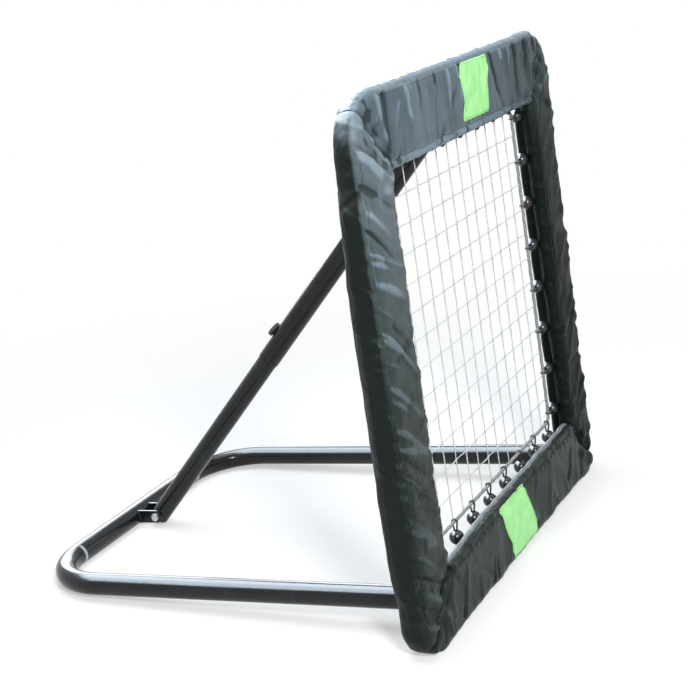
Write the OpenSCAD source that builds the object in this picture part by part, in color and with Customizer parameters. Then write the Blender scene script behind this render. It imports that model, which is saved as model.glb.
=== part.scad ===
// Pitch back rebounder: a padded net frame, hinged on a floor base and propped by a telescoping strut.
// Origin: on the floor under the middle of the object. +X right, +Y back, +Z up. Millimetres.

/* [Net frame] */
// Outer width of the padded frame
frame_w = 840; // [760:10:1000]
// Outer height of the padded frame, along its own plane
frame_h = 840; // [760:10:1000]
// Lean of the frame behind the vertical at its most upright setting, in degrees
rest_lean = 2.2; // [0:0.1:6]
// Diameter of the frame tube
frame_tube_d = 30; // [26:1:31]
// Wall of the frame tube
frame_tube_wall = 1.5; // [1.2:0.1:2]
// Bend radius of the frame tube, to its centre line
frame_bend_r = 30; // [26:1:31]
// Number of loops on each upright below its tube joint
loops_below_joint = 2; // [2:1:4]

/* [Pads] */
// Width of the side pads, from the outer edge inwards
pad_w = 112; // [106:1:120]
// Width of the top pad
pad_top_w = 126; // [110:1:128]
// Width of the bottom pad
pad_bottom_w = 120; // [106:1:126]
// Depth of the pads at their thickest, behind the tube
pad_d = 49; // [46:1:54]
// Depth of the outer side of the pads
pad_side_d = 46; // [40:1:50]
// Thickness of the front lip that covers the elastic loops
pad_lip = 18; // [12:1:18]
// Distance from the pad's outer edge to the tube's centre
tube_inset = 56; // [52:1:60]
// Distance from the pad's front face to the tube's centre
tube_set = 23; // [22:1:25]
// Outer corner radius at the top of the padded frame
pad_corner_r = 85; // [30:1:90]
// Outer corner radius at the bottom of the padded frame
pad_low_corner_r = 55; // [30:1:90]
// Rounding of the bottom pad's lower front edge
pad_low_edge_r = 6; // [4:1:12]
// Amount that the bottom pad is pressed flat on the floor
pad_squash = 1.5; // [0.5:0.1:3]

/* [Badge patches] */
// Width of the sewn patches
patch_w = 118; // [60:1:200]
// Height of the sewn patches
patch_h = 90; // [40:1:92]
// Distance of the top patch to the right of the middle
patch_top_shift = 30; // [-60:1:60]

/* [Net] */
// Mesh size of the net
net_pitch = 44; // [40:1:60]
// Cord of the net
net_cord = 2.4; // [1.6:0.1:4]
// Diameter of the border rope
rope_d = 6; // [4:0.5:8]
// Distance from the pad's outer edge to the border rope
rope_inset = 132; // [130:1:150]
// Distance of the net behind the tube's centre
net_back = 8; // [7:0.5:9]

/* [Elastic loops] */
// Number of loops on each side of the frame
loops_a_side = 8; // [4:2:8]
// Distance along the tube from a hinge sleeve to the nearest loop
loop_end_gap = 24; // [8:1:60]
// Diameter of the elastic cord
loop_cord = 3; // [2:0.5:3]
// Diameter of the toggle balls
ball_d = 24; // [16:1:24]
// Distance from the pad's outer edge to the ball's centre
ball_inset = 106; // [106:1:112]

/* [Base] */
// Distance from the frame tube's corner bend to a hinge sleeve
sleeve_gap = 1; // [0.5:0.5:40]
// Diameter of the base tubes
base_tube_d = 38; // [32:1:40]
// Wall of the base tubes
base_tube_wall = 1.5; // [1.2:0.1:2.5]
// Bend radius of the rear elbows, to their centre line
elbow_r = 115; // [60:5:150]
// Length of the swaged plug on each elbow, inside the crossbar
swage_len = 45; // [30:1:70]
// Length of the hinge sleeves
sleeve_len = 36; // [24:1:36]
// Wall of the hinge sleeves
sleeve_wall = 1.9; // [1.5:0.1:2]
// Wall of the nylon bush inside each sleeve
bush_wall = 1.35; // [1:0.05:1.4]

/* [Strut] */
// Diameter of the outer strut tube
strut_d = 38; // [34:1:38]
// Wall of both strut tubes
strut_wall = 1.4; // [1.2:0.1:2]
// Distance from the foot pivot to the lower end of the outer tube, frame upright
strut_show = 414; // [390:1:450]
// Distance from the top bolt to the inner tube's end, strut fully closed
strut_end_room = 28; // [8:1:60]
// Distance from the crossbar's centre to the foot pivot
foot_reach = 55; // [48:1:80]
// Height of the top pivot below the top tube's centre
top_drop = 33; // [33:1:60]
// Distance of the top pivot behind the tube's plane
top_set_back = 17.5; // [17.5:0.5:30]
// Furthest that the frame leans back from upright, in degrees
tilt_max = 35; // [20:1:36]
// Diameter of the pivot bolts
bolt_d = 8; // [6:1:10]
// Thickness of the bracket ears
ear_t = 3; // [2:0.5:4]
// Half width of the bracket ears
ear_r = 12; // [10:0.5:13]

/* [Lock knob] */
// Diameter of the knob
knob_d = 26; // [20:1:34]
// Height of the knob
knob_h = 6; // [5:0.5:12]
// Distance from the outer tube's lower end to the knob
knob_up = 55; // [30:1:90]

/* [Hidden] */

$fn = 48;
fit = 0.05;           // radial clearance of turning and sliding fits
slip = 0.1;           // radial clearance of tubes that plug together
gap = 0.3;            // clearance between neighbouring pieces
over = 1;             // how far a cutter runs past what it cuts
black = [0.07, 0.08, 0.09];
cloth = [0.17, 0.20, 0.21];
steel = [0.62, 0.64, 0.66];
green = [0.42, 0.80, 0.36];
cord_grey = [0.72, 0.74, 0.74];

frame_tube_r = frame_tube_d / 2;
base_tube_r = base_tube_d / 2;
strut_r = strut_d / 2;
inner_r = strut_r - strut_wall - slip;
bolt_r = bolt_d / 2;
tube_half_w = frame_w / 2 - tube_inset;        // upright's centre from the middle
tube_rise = frame_h - 2 * tube_inset;          // top tube above the bottom tube
sleeve_in_r = frame_tube_r + fit + bush_wall + fit;
sleeve_out_r = sleeve_in_r + sleeve_wall;
pad_bore_r = max(frame_tube_r, sleeve_out_r) + 0.45;
hinge_z = tube_inset - pad_squash;

// The foot pivot and the top pivot lie at the same distance from the hinge line,
// so the strut turns half as far as the frame and its two tubes stay in line.
pivot_r = norm([tube_rise - top_drop, top_set_back]);
base_len = pivot_r + foot_reach;
base_slope = asin((hinge_z - base_tube_r) / base_len);
back_reach = base_len * cos(base_slope) + base_tube_r;
front_reach = tube_set * cos(rest_lean) + (tube_inset - pad_low_edge_r) * sin(rest_lean);
hinge_y = (front_reach - back_reach) / 2;
top_pivot = [top_set_back * cos(rest_lean) + (tube_rise - top_drop) * sin(rest_lean),
  (tube_rise - top_drop) * cos(rest_lean) - top_set_back * sin(rest_lean)];
foot_pivot = [pivot_r * cos(base_slope), -pivot_r * sin(base_slope)];
strut_vec = top_pivot - foot_pivot;
strut_len = norm(strut_vec);
strut_turn = atan2(-strut_vec[0], strut_vec[1]);
apex = 2 * asin(strut_len / 2 / pivot_r);
strut_len_min = 2 * pivot_r * sin((apex - tilt_max) / 2);
inner_top = strut_len_min - bolt_r - strut_end_room;
end_past_pivot = 7;                             // tube beyond each pivot, without its plug
plug_rim = 1.6;

// The base's side tubes stand just inside the frame tube's bends, and the loops lie between them.
side_x = tube_half_w - frame_bend_r - sleeve_gap - sleeve_len / 2;
crossbar_half = side_x - elbow_r - gap;
loop_half_w = side_x - sleeve_len / 2 - loop_end_gap;
loop_half_h = tube_rise / 2 - (tube_half_w - loop_half_w);
loop_pitch_h = 2 * loop_half_h / (loops_a_side - 1);

// Puts a piece drawn from the hinge line, in the frame's own plane, in its place.
module on_frame() {
  translate([0, hinge_y, hinge_z]) rotate([-rest_lean, 0, 0]) children();
}

// Puts a piece drawn from the hinge line, in the base's own plane, in its place.
module on_base() {
  translate([0, hinge_y, hinge_z]) rotate([-base_slope, 0, 0]) children();
}

// Puts a piece drawn up the strut from the foot pivot in its place.
module on_strut() {
  translate([0, hinge_y + foot_pivot[0], hinge_z + foot_pivot[1]])
    rotate([strut_turn, 0, 0]) children();
}

// A round bar along X, centred.
module bar_x(r, len) {
  rotate([0, 90, 0]) cylinder(r = r, h = len, center = true);
}

// Turns a drawing in X and Y into one in Y and Z, with its height along X.
module facing_x() {
  rotate([90, 0, 90]) children();
}

// A hex head or nut blank along X, from x = 0.
module hex_x(across, h) {
  rotate([0, 90, 0]) cylinder(d = across / cos(30), h = h, $fn = 6);
}

// ---- base ----

// One side tube with its elbow as a solid rod, on the +X side. The rod starts at y = start.
// The elbow's last few degrees, neck, are left to the plug's own radius, which makes its shoulder.
neck = 2;
module side_rod(r, plug_r, start, plug_end, neck = 0) {
  straight = base_len - elbow_r - start;
  translate([side_x, start, 0]) rotate([-90, 0, 0]) cylinder(r = r, h = straight);
  translate([side_x - elbow_r, base_len - elbow_r, 0])
    rotate_extrude(angle = 90 - neck) translate([elbow_r, 0]) circle(r = r);
  translate([side_x - elbow_r - plug_end, base_len, 0])
    rotate([0, 90, 0]) cylinder(r = plug_r, h = plug_end + 0.01 + 1.4 * elbow_r * sin(neck));
}

// The screws sit on the back of the crossbar, one over each swaged plug.
screw_x = crossbar_half - swage_len / 2;
screw_r = 3;
module crossbar_screw_line(r, from, to) {
  for (side = [-1, 1])
    translate([side * screw_x, base_len + from, 0]) rotate([-90, 0, 0]) cylinder(r = r, h = to - from);
}

module side_tube() {
  bore_r = base_tube_r - base_tube_wall;
  plug_r = bore_r - slip;
  difference() {
    side_rod(base_tube_r, plug_r, 0, swage_len);
    side_rod(bore_r, plug_r - base_tube_wall, -over, swage_len + over, neck);
    bar_x(sleeve_out_r + slip, 2 * frame_w);
    crossbar_screw_line(screw_r + fit, 0, base_tube_r + over);
  }
}

module side_tube_left() {
  color(black) on_base() mirror([1, 0, 0]) side_tube();
}

module side_tube_right() {
  color(black) on_base() side_tube();
}

module rear_crossbar() {
  color(black) on_base() difference() {
    translate([0, base_len, 0]) bar_x(base_tube_r, 2 * crossbar_half);
    translate([0, base_len, 0]) bar_x(base_tube_r - base_tube_wall, 2 * crossbar_half + 2 * over);
    crossbar_screw_line(screw_r + fit, 0, base_tube_r + over);
  }
}

// Countersunk screws, flush with the back of the tube.
module crossbar_screws() {
  seat = base_tube_r - 2 * base_tube_wall - slip;
  color(steel) on_base() crossbar_screw_line(screw_r, seat - 2, base_tube_r - 0.25);
}

module hinge_sleeve(side) {
  on_base() translate([side * side_x, 0, 0]) difference() {
    bar_x(sleeve_out_r, sleeve_len);
    bar_x(sleeve_in_r, sleeve_len + 2 * over);
  }
}

module hinge_bush(side) {
  on_base() translate([side * side_x, 0, 0]) difference() {
    bar_x(sleeve_in_r - fit, sleeve_len);
    bar_x(frame_tube_r + fit, sleeve_len + 2 * over);
  }
}

module hinge_sleeve_left() {
  color(black) hinge_sleeve(-1);
}

module hinge_sleeve_right() {
  color(black) hinge_sleeve(1);
}

module hinge_bush_left() {
  color("dimgray") hinge_bush(-1);
}

module hinge_bush_right() {
  color("dimgray") hinge_bush(1);
}

// A pair of ears on a tube of radius tube_r, reaching len along +X to the pivot hole,
// with their faces half_gap to either side of the middle. Drawn in Y and Z.
module ears(tube_r, len, half_gap) {
  for (side = [-1, 1])
    translate([side > 0 ? half_gap : -half_gap - ear_t, 0, 0]) facing_x()
      linear_extrude(ear_t) difference() {
        union() {
          translate([0, -ear_r]) square([len, 2 * ear_r]);
          translate([len, 0]) circle(r = ear_r);
        }
        circle(r = tube_r + fit);
        translate([len, 0]) circle(r = bolt_r + fit);
      }
}

foot_half_gap = inner_r + 0.4;
top_half_gap = strut_r + 0.4;

module foot_bracket() {
  color(black) on_base() translate([0, base_len, 0]) mirror([0, 1, 0]) ears(base_tube_r, foot_reach, foot_half_gap);
}

// A bolt along X with its head on the -X side and its shank through both ears.
module pivot_bolt(half_gap) {
  grip = half_gap + ear_t;
  bar_x(bolt_r, 2 * grip + 0.01);
  translate([-grip - 5.3, 0, 0]) hex_x(13 * bolt_d / 8, 5.3);
  translate([grip, 0, 0]) rotate([0, 90, 0]) cylinder(r = bolt_r, h = 8.5);
}

module pivot_nut(half_gap) {
  translate([half_gap + ear_t, 0, 0]) difference() {
    hex_x(13 * bolt_d / 8, 6.5);
    translate([-over, 0, 0]) rotate([0, 90, 0]) cylinder(r = bolt_r + fit, h = 6.5 + 2 * over);
  }
}

module foot_pivot_bolt() {
  color(steel) on_strut() pivot_bolt(foot_half_gap);
}

module foot_pivot_nut() {
  color(steel) on_strut() pivot_nut(foot_half_gap);
}

// ---- net frame ----

// A U of solid rod in the frame's plane, opening towards +Z, from leg end to leg end.
module u_rod(r, leg) {
  bend = frame_bend_r;
  bar_x(r, 2 * (tube_half_w - bend));
  for (side = [-1, 1]) {
    translate([side * tube_half_w, 0, bend]) cylinder(r = r, h = leg - bend);
    translate([side * (tube_half_w - bend), 0, bend]) mirror([side < 0 ? 1 : 0, 0, 0])
      rotate([90, 0, 0]) rotate([0, 0, -90]) rotate_extrude(angle = 90) translate([bend, 0]) circle(r = r);
  }
}

frame_plug_len = 40;
frame_screw_r = 2.5;
joint_screw_z = tube_rise / 2 - loop_half_h + (loops_below_joint - 0.5) * loop_pitch_h;
frame_joint_rise = joint_screw_z - frame_plug_len / 2;

module frame_joint_line(r, from, to) {
  for (side = [-1, 1])
    translate([side * tube_half_w, from, joint_screw_z])
      rotate([-90, 0, 0]) cylinder(r = r, h = to - from);
}

module frame_tube_lower() {
  bore_r = frame_tube_r - frame_tube_wall;
  plug_r = bore_r - slip;
  color(black) on_frame() difference() {
    union() {
      u_rod(frame_tube_r, frame_joint_rise);
      for (side = [-1, 1])
        translate([side * tube_half_w, 0, frame_joint_rise - 0.01]) cylinder(r = plug_r, h = frame_plug_len);
    }
    u_rod(plug_r - frame_tube_wall, frame_joint_rise + frame_plug_len + over);
    frame_joint_line(frame_screw_r + fit, 0, frame_tube_r + over);
  }
}

module frame_tube_upper() {
  leg = tube_rise - frame_joint_rise - gap;
  color(black) on_frame() difference() {
    translate([0, 0, tube_rise]) mirror([0, 0, 1]) difference() {
      u_rod(frame_tube_r, leg);
      u_rod(frame_tube_r - frame_tube_wall, leg + over);
    }
    frame_joint_line(frame_screw_r + fit, 0, frame_tube_r + over);
  }
}

module frame_joint_screws() {
  color(steel) on_frame() {
    frame_joint_line(frame_screw_r, frame_tube_r - 6, frame_tube_r + 0.1);
    frame_joint_line(frame_screw_r + 1.5, frame_tube_r, frame_tube_r + 3);
  }
}

// Corner of an outline rounded with radius r, between the points before and after it.
function rounded_corner(a, b, c, r, n = 6) =
  let (u = (a - b) / norm(a - b), v = (c - b) / norm(c - b),
    half = acos(u * v) / 2,
    mid = (u + v) / norm(u + v),
    centre = b + mid * r / sin(half),
    p = b + u * r / tan(half) - centre,
    q = b + v * r / tan(half) - centre,
    start = atan2(p[1], p[0]),
    raw = atan2(q[1], q[0]) - start,
    sweep = raw > 180 ? raw - 360 : raw < -180 ? raw + 360 : raw)
  [for (i = [0 : n]) centre + r * [cos(start + sweep * i / n), sin(start + sweep * i / n)]];

// Outline through points [x, y, corner radius]; a radius of 0 keeps the corner sharp.
function rounded_outline(pts) =
  [for (i = [0 : len(pts) - 1])
    let (a = pts[(i + len(pts) - 1) % len(pts)], b = pts[i], c = pts[(i + 1) % len(pts)])
    each (b[2] > 0
      ? rounded_corner([a[0], a[1]], [b[0], b[1]], [c[0], c[1]], b[2])
      : [[b[0], b[1]]])];

function unit(v) = v / norm(v);

// Centre line of an elastic loop: an arc round the tube, and two legs to the ball.
loop_arc_r = frame_tube_r + 0.1 + loop_cord / 2;
knot_r = loop_cord / 2 + 0.4;
leg_half = knot_r + 0.1;
leg_meet = ball_inset - tube_inset - ball_d / 2 - 1;
front_target = [net_back - leg_half, leg_meet];
back_target = [net_back + leg_half, leg_meet];
front_lean = atan2(front_target[0], front_target[1]) + asin(loop_arc_r / norm(front_target));
back_lean = atan2(back_target[0], back_target[1]) - asin(loop_arc_r / norm(back_target));
front_touch = loop_arc_r * [-cos(front_lean), sin(front_lean)];
back_touch = loop_arc_r * [cos(back_lean), -sin(back_lean)];
leg_room = loop_cord / 2 + 1;
leg_part = ball_inset - tube_inset + ball_d / 2 + 1;
eye_r = rope_d / 2 + 0.1 + loop_cord / 2;
eye_s = rope_inset - tube_inset;
eye_lean = asin(eye_r / norm([leg_half, eye_s - leg_part])) - atan2(leg_half, eye_s - leg_part);

// Cross-section of a pad of width w. X runs back from the tube's centre, Y inwards across the frame.
// The two radii round its outer edge at the front and at the back.
flap_end = 76;
module pad_section(w, front_r, back_r) {
  back = pad_d - tube_set;
  front = -tube_set;
  outer = -tube_inset;
  inner = w - tube_inset;
  step = flap_end - tube_inset;
  difference() {
    polygon(rounded_outline([
      [front, outer, front_r],
      [pad_side_d - tube_set, outer, back_r],
      [back, 4, 12],
      [back - 7, step, 1],
      [pad_lip - tube_set, step, 0],
      [pad_lip - tube_set, inner, 6],
      [front, inner, 8]]));
    circle(r = pad_bore_r);
    polygon([
      front_touch + leg_room * [-cos(front_lean), sin(front_lean)],
      front_target + leg_room * [-cos(front_lean), sin(front_lean)],
      back_target + leg_room * [cos(back_lean), -sin(back_lean)],
      back_touch + leg_room * [cos(back_lean), -sin(back_lean)]]);
  }
}

// A mitred pad along X, drawn round the tube's centre with the frame's inside towards +Z.
// It is mitred as far as its neighbour at each end is wide, and cut square beyond that.
module pad_bar(len, w, start_w, end_w, front_r = 12, back_r = 16) {
  top = w - tube_inset + over;
  bottom = -tube_inset - over;
  long = len / 2 + over - gap;
  m = min(w, start_w);
  n = min(w, end_w);
  intersection() {
    translate([-len / 2, 0, 0]) facing_x() linear_extrude(len) pad_section(w, front_r, back_r);
    translate([0, pad_d, 0]) rotate([90, 0, 0]) linear_extrude(2 * pad_d)
      polygon([[-long, bottom], [long, bottom],
        [len / 2 - n - gap, n - tube_inset], [len / 2 - n - gap, top],
        [m + gap - len / 2, top], [m + gap - len / 2, m - tube_inset]]);
  }
}

// The outline of the whole padded frame, with its round corners.
module frame_outline() {
  translate([0, pad_d, tube_rise / 2]) rotate([90, 0, 0]) linear_extrude(2 * pad_d)
    for (end = [[1, pad_corner_r], [-1, pad_low_corner_r]]) {
      r = end[1];
      w = frame_w / 2 - r;
      h = frame_h / 2 - r;
      translate([-frame_w / 2, end[0] > 0 ? 0 : -h]) square([frame_w, h]);
      translate([-w, end[0] > 0 ? 0 : -frame_h / 2]) square([2 * w, frame_h / 2]);
      for (x = [-w, w]) translate([x, end[0] * h]) circle(r = r);
    }
}

// Room round the bends of the frame tube.
module bend_room() {
  for (flip = [0, 1]) translate([0, 0, flip * tube_rise]) mirror([0, 0, flip])
    u_rod(pad_bore_r, frame_bend_r + 20);
}

module pad_top() {
  notch = top_half_gap + ear_t + 6;
  color(cloth) on_frame() difference() {
    intersection() {
      translate([0, 0, tube_rise]) rotate([0, 180, 0]) pad_bar(frame_w, pad_top_w, pad_w, pad_w, 12, 24);
      frame_outline();
    }
    bend_room();
    translate([-notch, pad_lip - tube_set + 0.5, tube_rise - pad_top_w])
      cube([2 * notch, 2 * pad_d, pad_top_w + pad_bore_r + 2]);
  }
}

module pad_bottom() {
  color(cloth) difference() {
    on_frame() difference() {
      intersection() {
        pad_bar(frame_w, pad_bottom_w, pad_w, pad_w, pad_low_edge_r);
        frame_outline();
      }
      bend_room();
      for (side = [-1, 1]) {
        translate([side * side_x - base_tube_r - 5, 0, -base_tube_r - 5])
          cube([2 * base_tube_r + 10, 2 * pad_d, 2 * pad_bottom_w]);
        translate([side * side_x, 0, 0]) bar_x(base_tube_r + 1, base_tube_r);
      }
    }
    translate([-frame_w, hinge_y - frame_h, -frame_h]) cube([2 * frame_w, 2 * frame_h, frame_h]);
  }
}

module pad_side(side) {
  start_w = side > 0 ? pad_bottom_w : pad_top_w;
  end_w = side > 0 ? pad_top_w : pad_bottom_w;
  on_frame() difference() {
    intersection() {
      translate([side * tube_half_w, 0, tube_rise / 2]) rotate([0, -side * 90, 0])
        pad_bar(frame_h, pad_w, start_w, end_w);
      frame_outline();
    }
    bend_room();
    translate([side * side_x - base_tube_r - 5, 0, -tube_inset])
      cube([2 * base_tube_r + 10, 2 * pad_d, tube_inset + pad_w]);
  }
}

module pad_left() {
  color(cloth) pad_side(-1);
}

module pad_right() {
  color(cloth) pad_side(1);
}

patch_t = 0.6;
module patch(x, z) {
  r = 5;
  on_frame() translate([x, -tube_set, z]) rotate([90, 0, 0]) linear_extrude(patch_t) union() {
    square([patch_w, patch_h - 2 * r], center = true);
    square([patch_w - 2 * r, patch_h], center = true);
    for (u = [-1, 1], v = [-1, 1]) translate([u * (patch_w / 2 - r), v * (patch_h / 2 - r)]) circle(r = r);
  }
}

patch_lift = 2;
module patch_top() {
  color(green) patch(patch_top_shift, tube_rise - patch_lift);
}

module patch_bottom() {
  color(green) patch(0, patch_lift);
}

rope_r = rope_d / 2;
rope_half_w = frame_w / 2 - rope_inset;
rope_half_h = frame_h / 2 - rope_inset;

// A knotless square mesh. Its cells divide the opening evenly, near net_pitch.
module net() {
  w = rope_half_w - rope_r - slip;
  h = rope_half_h - rope_r - slip;
  columns = round(2 * rope_half_w / net_pitch);
  rows = round(2 * rope_half_h / net_pitch);
  color(cord_grey) on_frame() translate([0, net_back + net_cord / 2, tube_rise / 2])
    rotate([90, 0, 0]) linear_extrude(net_cord) union() {
      for (i = [1 : columns - 1])
        translate([(2 * i / columns - 1) * rope_half_w, 0]) square([net_cord, 2 * h], center = true);
      for (i = [1 : rows - 1])
        translate([0, (2 * i / rows - 1) * rope_half_h]) square([2 * w, net_cord], center = true);
    }
}

rope_corner_r = 16;
module net_border_rope() {
  w = rope_half_w - rope_corner_r;
  h = rope_half_h - rope_corner_r;
  color(cord_grey) on_frame() translate([0, net_back, tube_rise / 2]) {
    for (side = [-1, 1]) {
      translate([0, 0, side * rope_half_h]) bar_x(rope_r, 2 * w);
      translate([side * rope_half_w, 0, 0]) cylinder(r = rope_r, h = 2 * h, center = true);
    }
    for (turn = [0 : 3])
      translate([turn == 0 || turn == 3 ? w : -w, 0, turn < 2 ? h : -h]) rotate([90, 0, 0])
        rotate([0, 0, 90 * turn]) rotate_extrude(angle = 90) translate([rope_corner_r, 0]) circle(r = rope_r);
  }
}

// Puts its children, drawn on a tube along X with the net towards +Z, at every loop's place.
module at_loops() {
  for (i = [0 : loops_a_side - 1]) {
    share = 2 * i / (loops_a_side - 1) - 1;
    translate([share * loop_half_w, 0, 0]) children();
    translate([share * loop_half_w, 0, tube_rise]) rotate([0, 180, 0]) children();
    translate([-tube_half_w, 0, tube_rise / 2 + share * loop_half_h]) rotate([0, 90, 0]) children();
    translate([tube_half_w, 0, tube_rise / 2 + share * loop_half_h]) rotate([0, -90, 0]) children();
  }
}

// A round cord between two points given in Y and Z.
module cord_run(p, q, r) {
  translate([0, p[0], p[1]]) rotate([-atan2(q[0] - p[0], q[1] - p[1]), 0, 0]) cylinder(r = r, h = norm(q - p));
}

// A small knot in a cord, where its direction changes.
module cord_turn(p) {
  translate([0, p[0], p[1]]) sphere(r = knot_r);
}

// An elastic loop: an arc round the tube, two runs through the ball and an arc round the rope.
// The straight legs are a little thinner, so each one leaves the flat end of its arc cleanly.
module bungee_loop() {
  r = loop_cord / 2;
  leg_r = r - 0.1;
  root = 0.6;
  arc_start = 180 - front_lean;
  arc_end = 360 - back_lean;
  facing_x() rotate([0, 0, arc_start]) rotate_extrude(angle = arc_end - arc_start)
    translate([loop_arc_r, 0]) circle(r = r);
  cord_run(front_touch + root * unit(front_touch - front_target), front_target, leg_r);
  cord_run(back_touch + root * unit(back_touch - back_target), back_target, leg_r);
  for (side = [-1, 1]) {
    enter = [net_back + side * leg_half, leg_meet];
    leave = [net_back + side * leg_half, leg_part];
    touch = [net_back + side * eye_r * cos(eye_lean), eye_s - eye_r * sin(eye_lean)];
    cord_turn(enter);
    cord_run(enter, leave, r);
    cord_turn(leave);
    cord_run(leave, touch + root * unit(touch - leave), leg_r);
  }
  translate([0, net_back, eye_s]) facing_x() rotate([0, 0, -eye_lean])
    rotate_extrude(angle = 180 + 2 * eye_lean) translate([eye_r, 0]) circle(r = r);
}

module bungee_loops() {
  color(black) on_frame() at_loops() bungee_loop();
}

module toggle_balls() {
  color(black) on_frame() at_loops() translate([0, net_back, ball_inset - tube_inset]) difference() {
    sphere(d = ball_d);
    cylinder(r = leg_half + loop_cord / 2 + gap, h = 2 * ball_d, center = true);
  }
}

module top_bracket() {
  reach = norm([top_drop, top_set_back]);
  color(black) on_frame() translate([0, 0, tube_rise]) rotate([-atan2(top_drop, top_set_back), 0, 0])
    ears(frame_tube_r, reach, top_half_gap);
}

module top_pivot_bolt() {
  color(steel) on_strut() translate([0, 0, strut_len]) pivot_bolt(top_half_gap);
}

module top_pivot_nut() {
  color(steel) on_strut() translate([0, 0, strut_len]) pivot_nut(top_half_gap);
}

// ---- strut ----

// A tube along the strut with a cross hole for its pivot bolt.
module strut_tube(out_r, in_r, from, to, pivot) {
  difference() {
    translate([0, 0, from]) cylinder(r = out_r, h = to - from);
    translate([0, 0, from - over]) cylinder(r = in_r, h = to - from + 2 * over);
    translate([0, 0, pivot]) bar_x(bolt_r + fit, 4 * out_r);
  }
}

lock_z = strut_show + knob_up;
stud_r = 4;

module strut_inner_tube() {
  color(black) on_strut() strut_tube(inner_r, inner_r - strut_wall, -end_past_pivot, inner_top, 0);
}

module strut_foot_plug() {
  color("dimgray") on_strut() {
    translate([0, 0, -end_past_pivot - plug_rim]) cylinder(r = inner_r, h = plug_rim);
    translate([0, 0, -end_past_pivot]) cylinder(r = inner_r - strut_wall - slip, h = 2);
  }
}

module strut_outer_tube() {
  color(black) on_strut() difference() {
    strut_tube(strut_r, strut_r - strut_wall, strut_show, strut_len + end_past_pivot, strut_len);
    translate([0, 0, lock_z]) rotate([-90, 0, 0]) cylinder(r = stud_r + slip, h = 2 * strut_r);
  }
}

module strut_top_plug() {
  color("dimgray") on_strut() translate([0, 0, strut_len + end_past_pivot]) {
    cylinder(r = strut_r, h = plug_rim);
    translate([0, 0, -2]) cylinder(r = strut_r - strut_wall - slip, h = 2);
  }
}

boss_r = 8;
boss_h = 3;
module lock_boss() {
  color(black) on_strut() translate([0, 0, lock_z]) difference() {
    rotate([-90, 0, 0]) cylinder(r = boss_r, h = strut_r + boss_h);
    cylinder(r = strut_r + fit, h = 4 * boss_r, center = true);
    rotate([-90, 0, 0]) cylinder(r = stud_r + slip, h = 2 * strut_r);
  }
}

// A low round knob with finger scallops. It caps the boss.
module lock_knob() {
  scallops = 12;
  cap = boss_h - 1;
  color(black) on_strut() translate([0, 0, lock_z]) rotate([-90, 0, 0]) translate([0, 0, strut_r + 1.3]) difference() {
    cylinder(d = knob_d, h = knob_h);
    translate([0, 0, -over]) cylinder(r = boss_r + gap, h = over + cap);
    cylinder(r = stud_r + fit, h = knob_h - 1.5);
    for (i = [0 : scallops - 1])
      rotate([0, 0, i * 360 / scallops]) translate([knob_d / 2 + 1, 0, -over]) cylinder(r = 2.2, h = knob_h + 2 * over, $fn = 24);
  }
}

module lock_stud() {
  tip = inner_r + gap;
  top = strut_r + 1.3 + knob_h - 1.5;
  color(steel) on_strut() translate([0, 0, lock_z]) rotate([-90, 0, 0])
    translate([0, 0, tip]) cylinder(r = stud_r, h = top - tip);
}

side_tube_left();
side_tube_right();
rear_crossbar();
crossbar_screws();
hinge_sleeve_left();
hinge_sleeve_right();
hinge_bush_left();
hinge_bush_right();
foot_bracket();
foot_pivot_bolt();
foot_pivot_nut();
frame_tube_lower();
frame_tube_upper();
frame_joint_screws();
pad_top();
pad_bottom();
pad_left();
pad_right();
patch_top();
patch_bottom();
net();
net_border_rope();
bungee_loops();
toggle_balls();
top_bracket();
top_pivot_bolt();
top_pivot_nut();
strut_inner_tube();
strut_foot_plug();
strut_outer_tube();
strut_top_plug();
lock_boss();
lock_knob();
lock_stud();
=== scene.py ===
"""Dresses the pitch back rebounder: padded net frame, lacing, strut and floor base, around its CAD frame."""

import math

import bmesh
import bpy
import numpy as np
from mathutils import Matrix, Vector


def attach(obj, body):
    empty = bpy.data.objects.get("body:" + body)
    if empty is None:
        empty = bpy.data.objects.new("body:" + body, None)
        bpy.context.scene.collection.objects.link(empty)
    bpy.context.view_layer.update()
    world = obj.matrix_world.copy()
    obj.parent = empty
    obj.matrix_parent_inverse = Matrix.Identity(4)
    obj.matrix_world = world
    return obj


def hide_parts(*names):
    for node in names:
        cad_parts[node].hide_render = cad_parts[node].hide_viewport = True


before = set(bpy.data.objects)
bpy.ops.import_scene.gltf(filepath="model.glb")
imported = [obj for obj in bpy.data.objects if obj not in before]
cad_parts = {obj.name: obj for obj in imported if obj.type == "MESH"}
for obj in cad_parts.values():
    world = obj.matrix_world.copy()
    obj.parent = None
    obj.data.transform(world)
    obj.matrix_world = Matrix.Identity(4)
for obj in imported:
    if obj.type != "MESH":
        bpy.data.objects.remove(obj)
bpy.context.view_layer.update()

MM = 0.001

# The rebounder's own sizes in millimetres, as in the part's source.
LEAN = math.radians(2.2)          # lean of the net frame behind the vertical
HINGE_Y, HINGE_Z = -371.739, 54.5
FRAME = 840.0                     # outer width and height of the padded frame
INSET = 56.0                      # pad's outer edge to the tube's centre
SET = 23.0                        # pad's front face to the tube's centre
DEEP, SIDE_DEEP, LIP = 49.0, 46.0, 18.0
FLAP = 76.0                       # inner end of the pad's thick part
WIDE, TOP_WIDE, LOW_WIDE = 112.0, 126.0, 120.0
RISE = FRAME - 2 * INSET          # top tube above the bottom tube
HALF = FRAME / 2 - INSET          # upright tube from the middle
TUBE_R = 15.0
NET_N = 8.0                       # net behind the tubes' plane
ROPE_IN, BALL_IN = 132.0, 106.0   # border rope and balls from the padded frame's outer edge
ROPE_R, CORD_R, BALL_R = 3.0, 1.5, 12.0
CORD_GAP = 0.1                    # between an elastic loop and what it turns round
ROPE_HALF = FRAME / 2 - ROPE_IN
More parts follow.
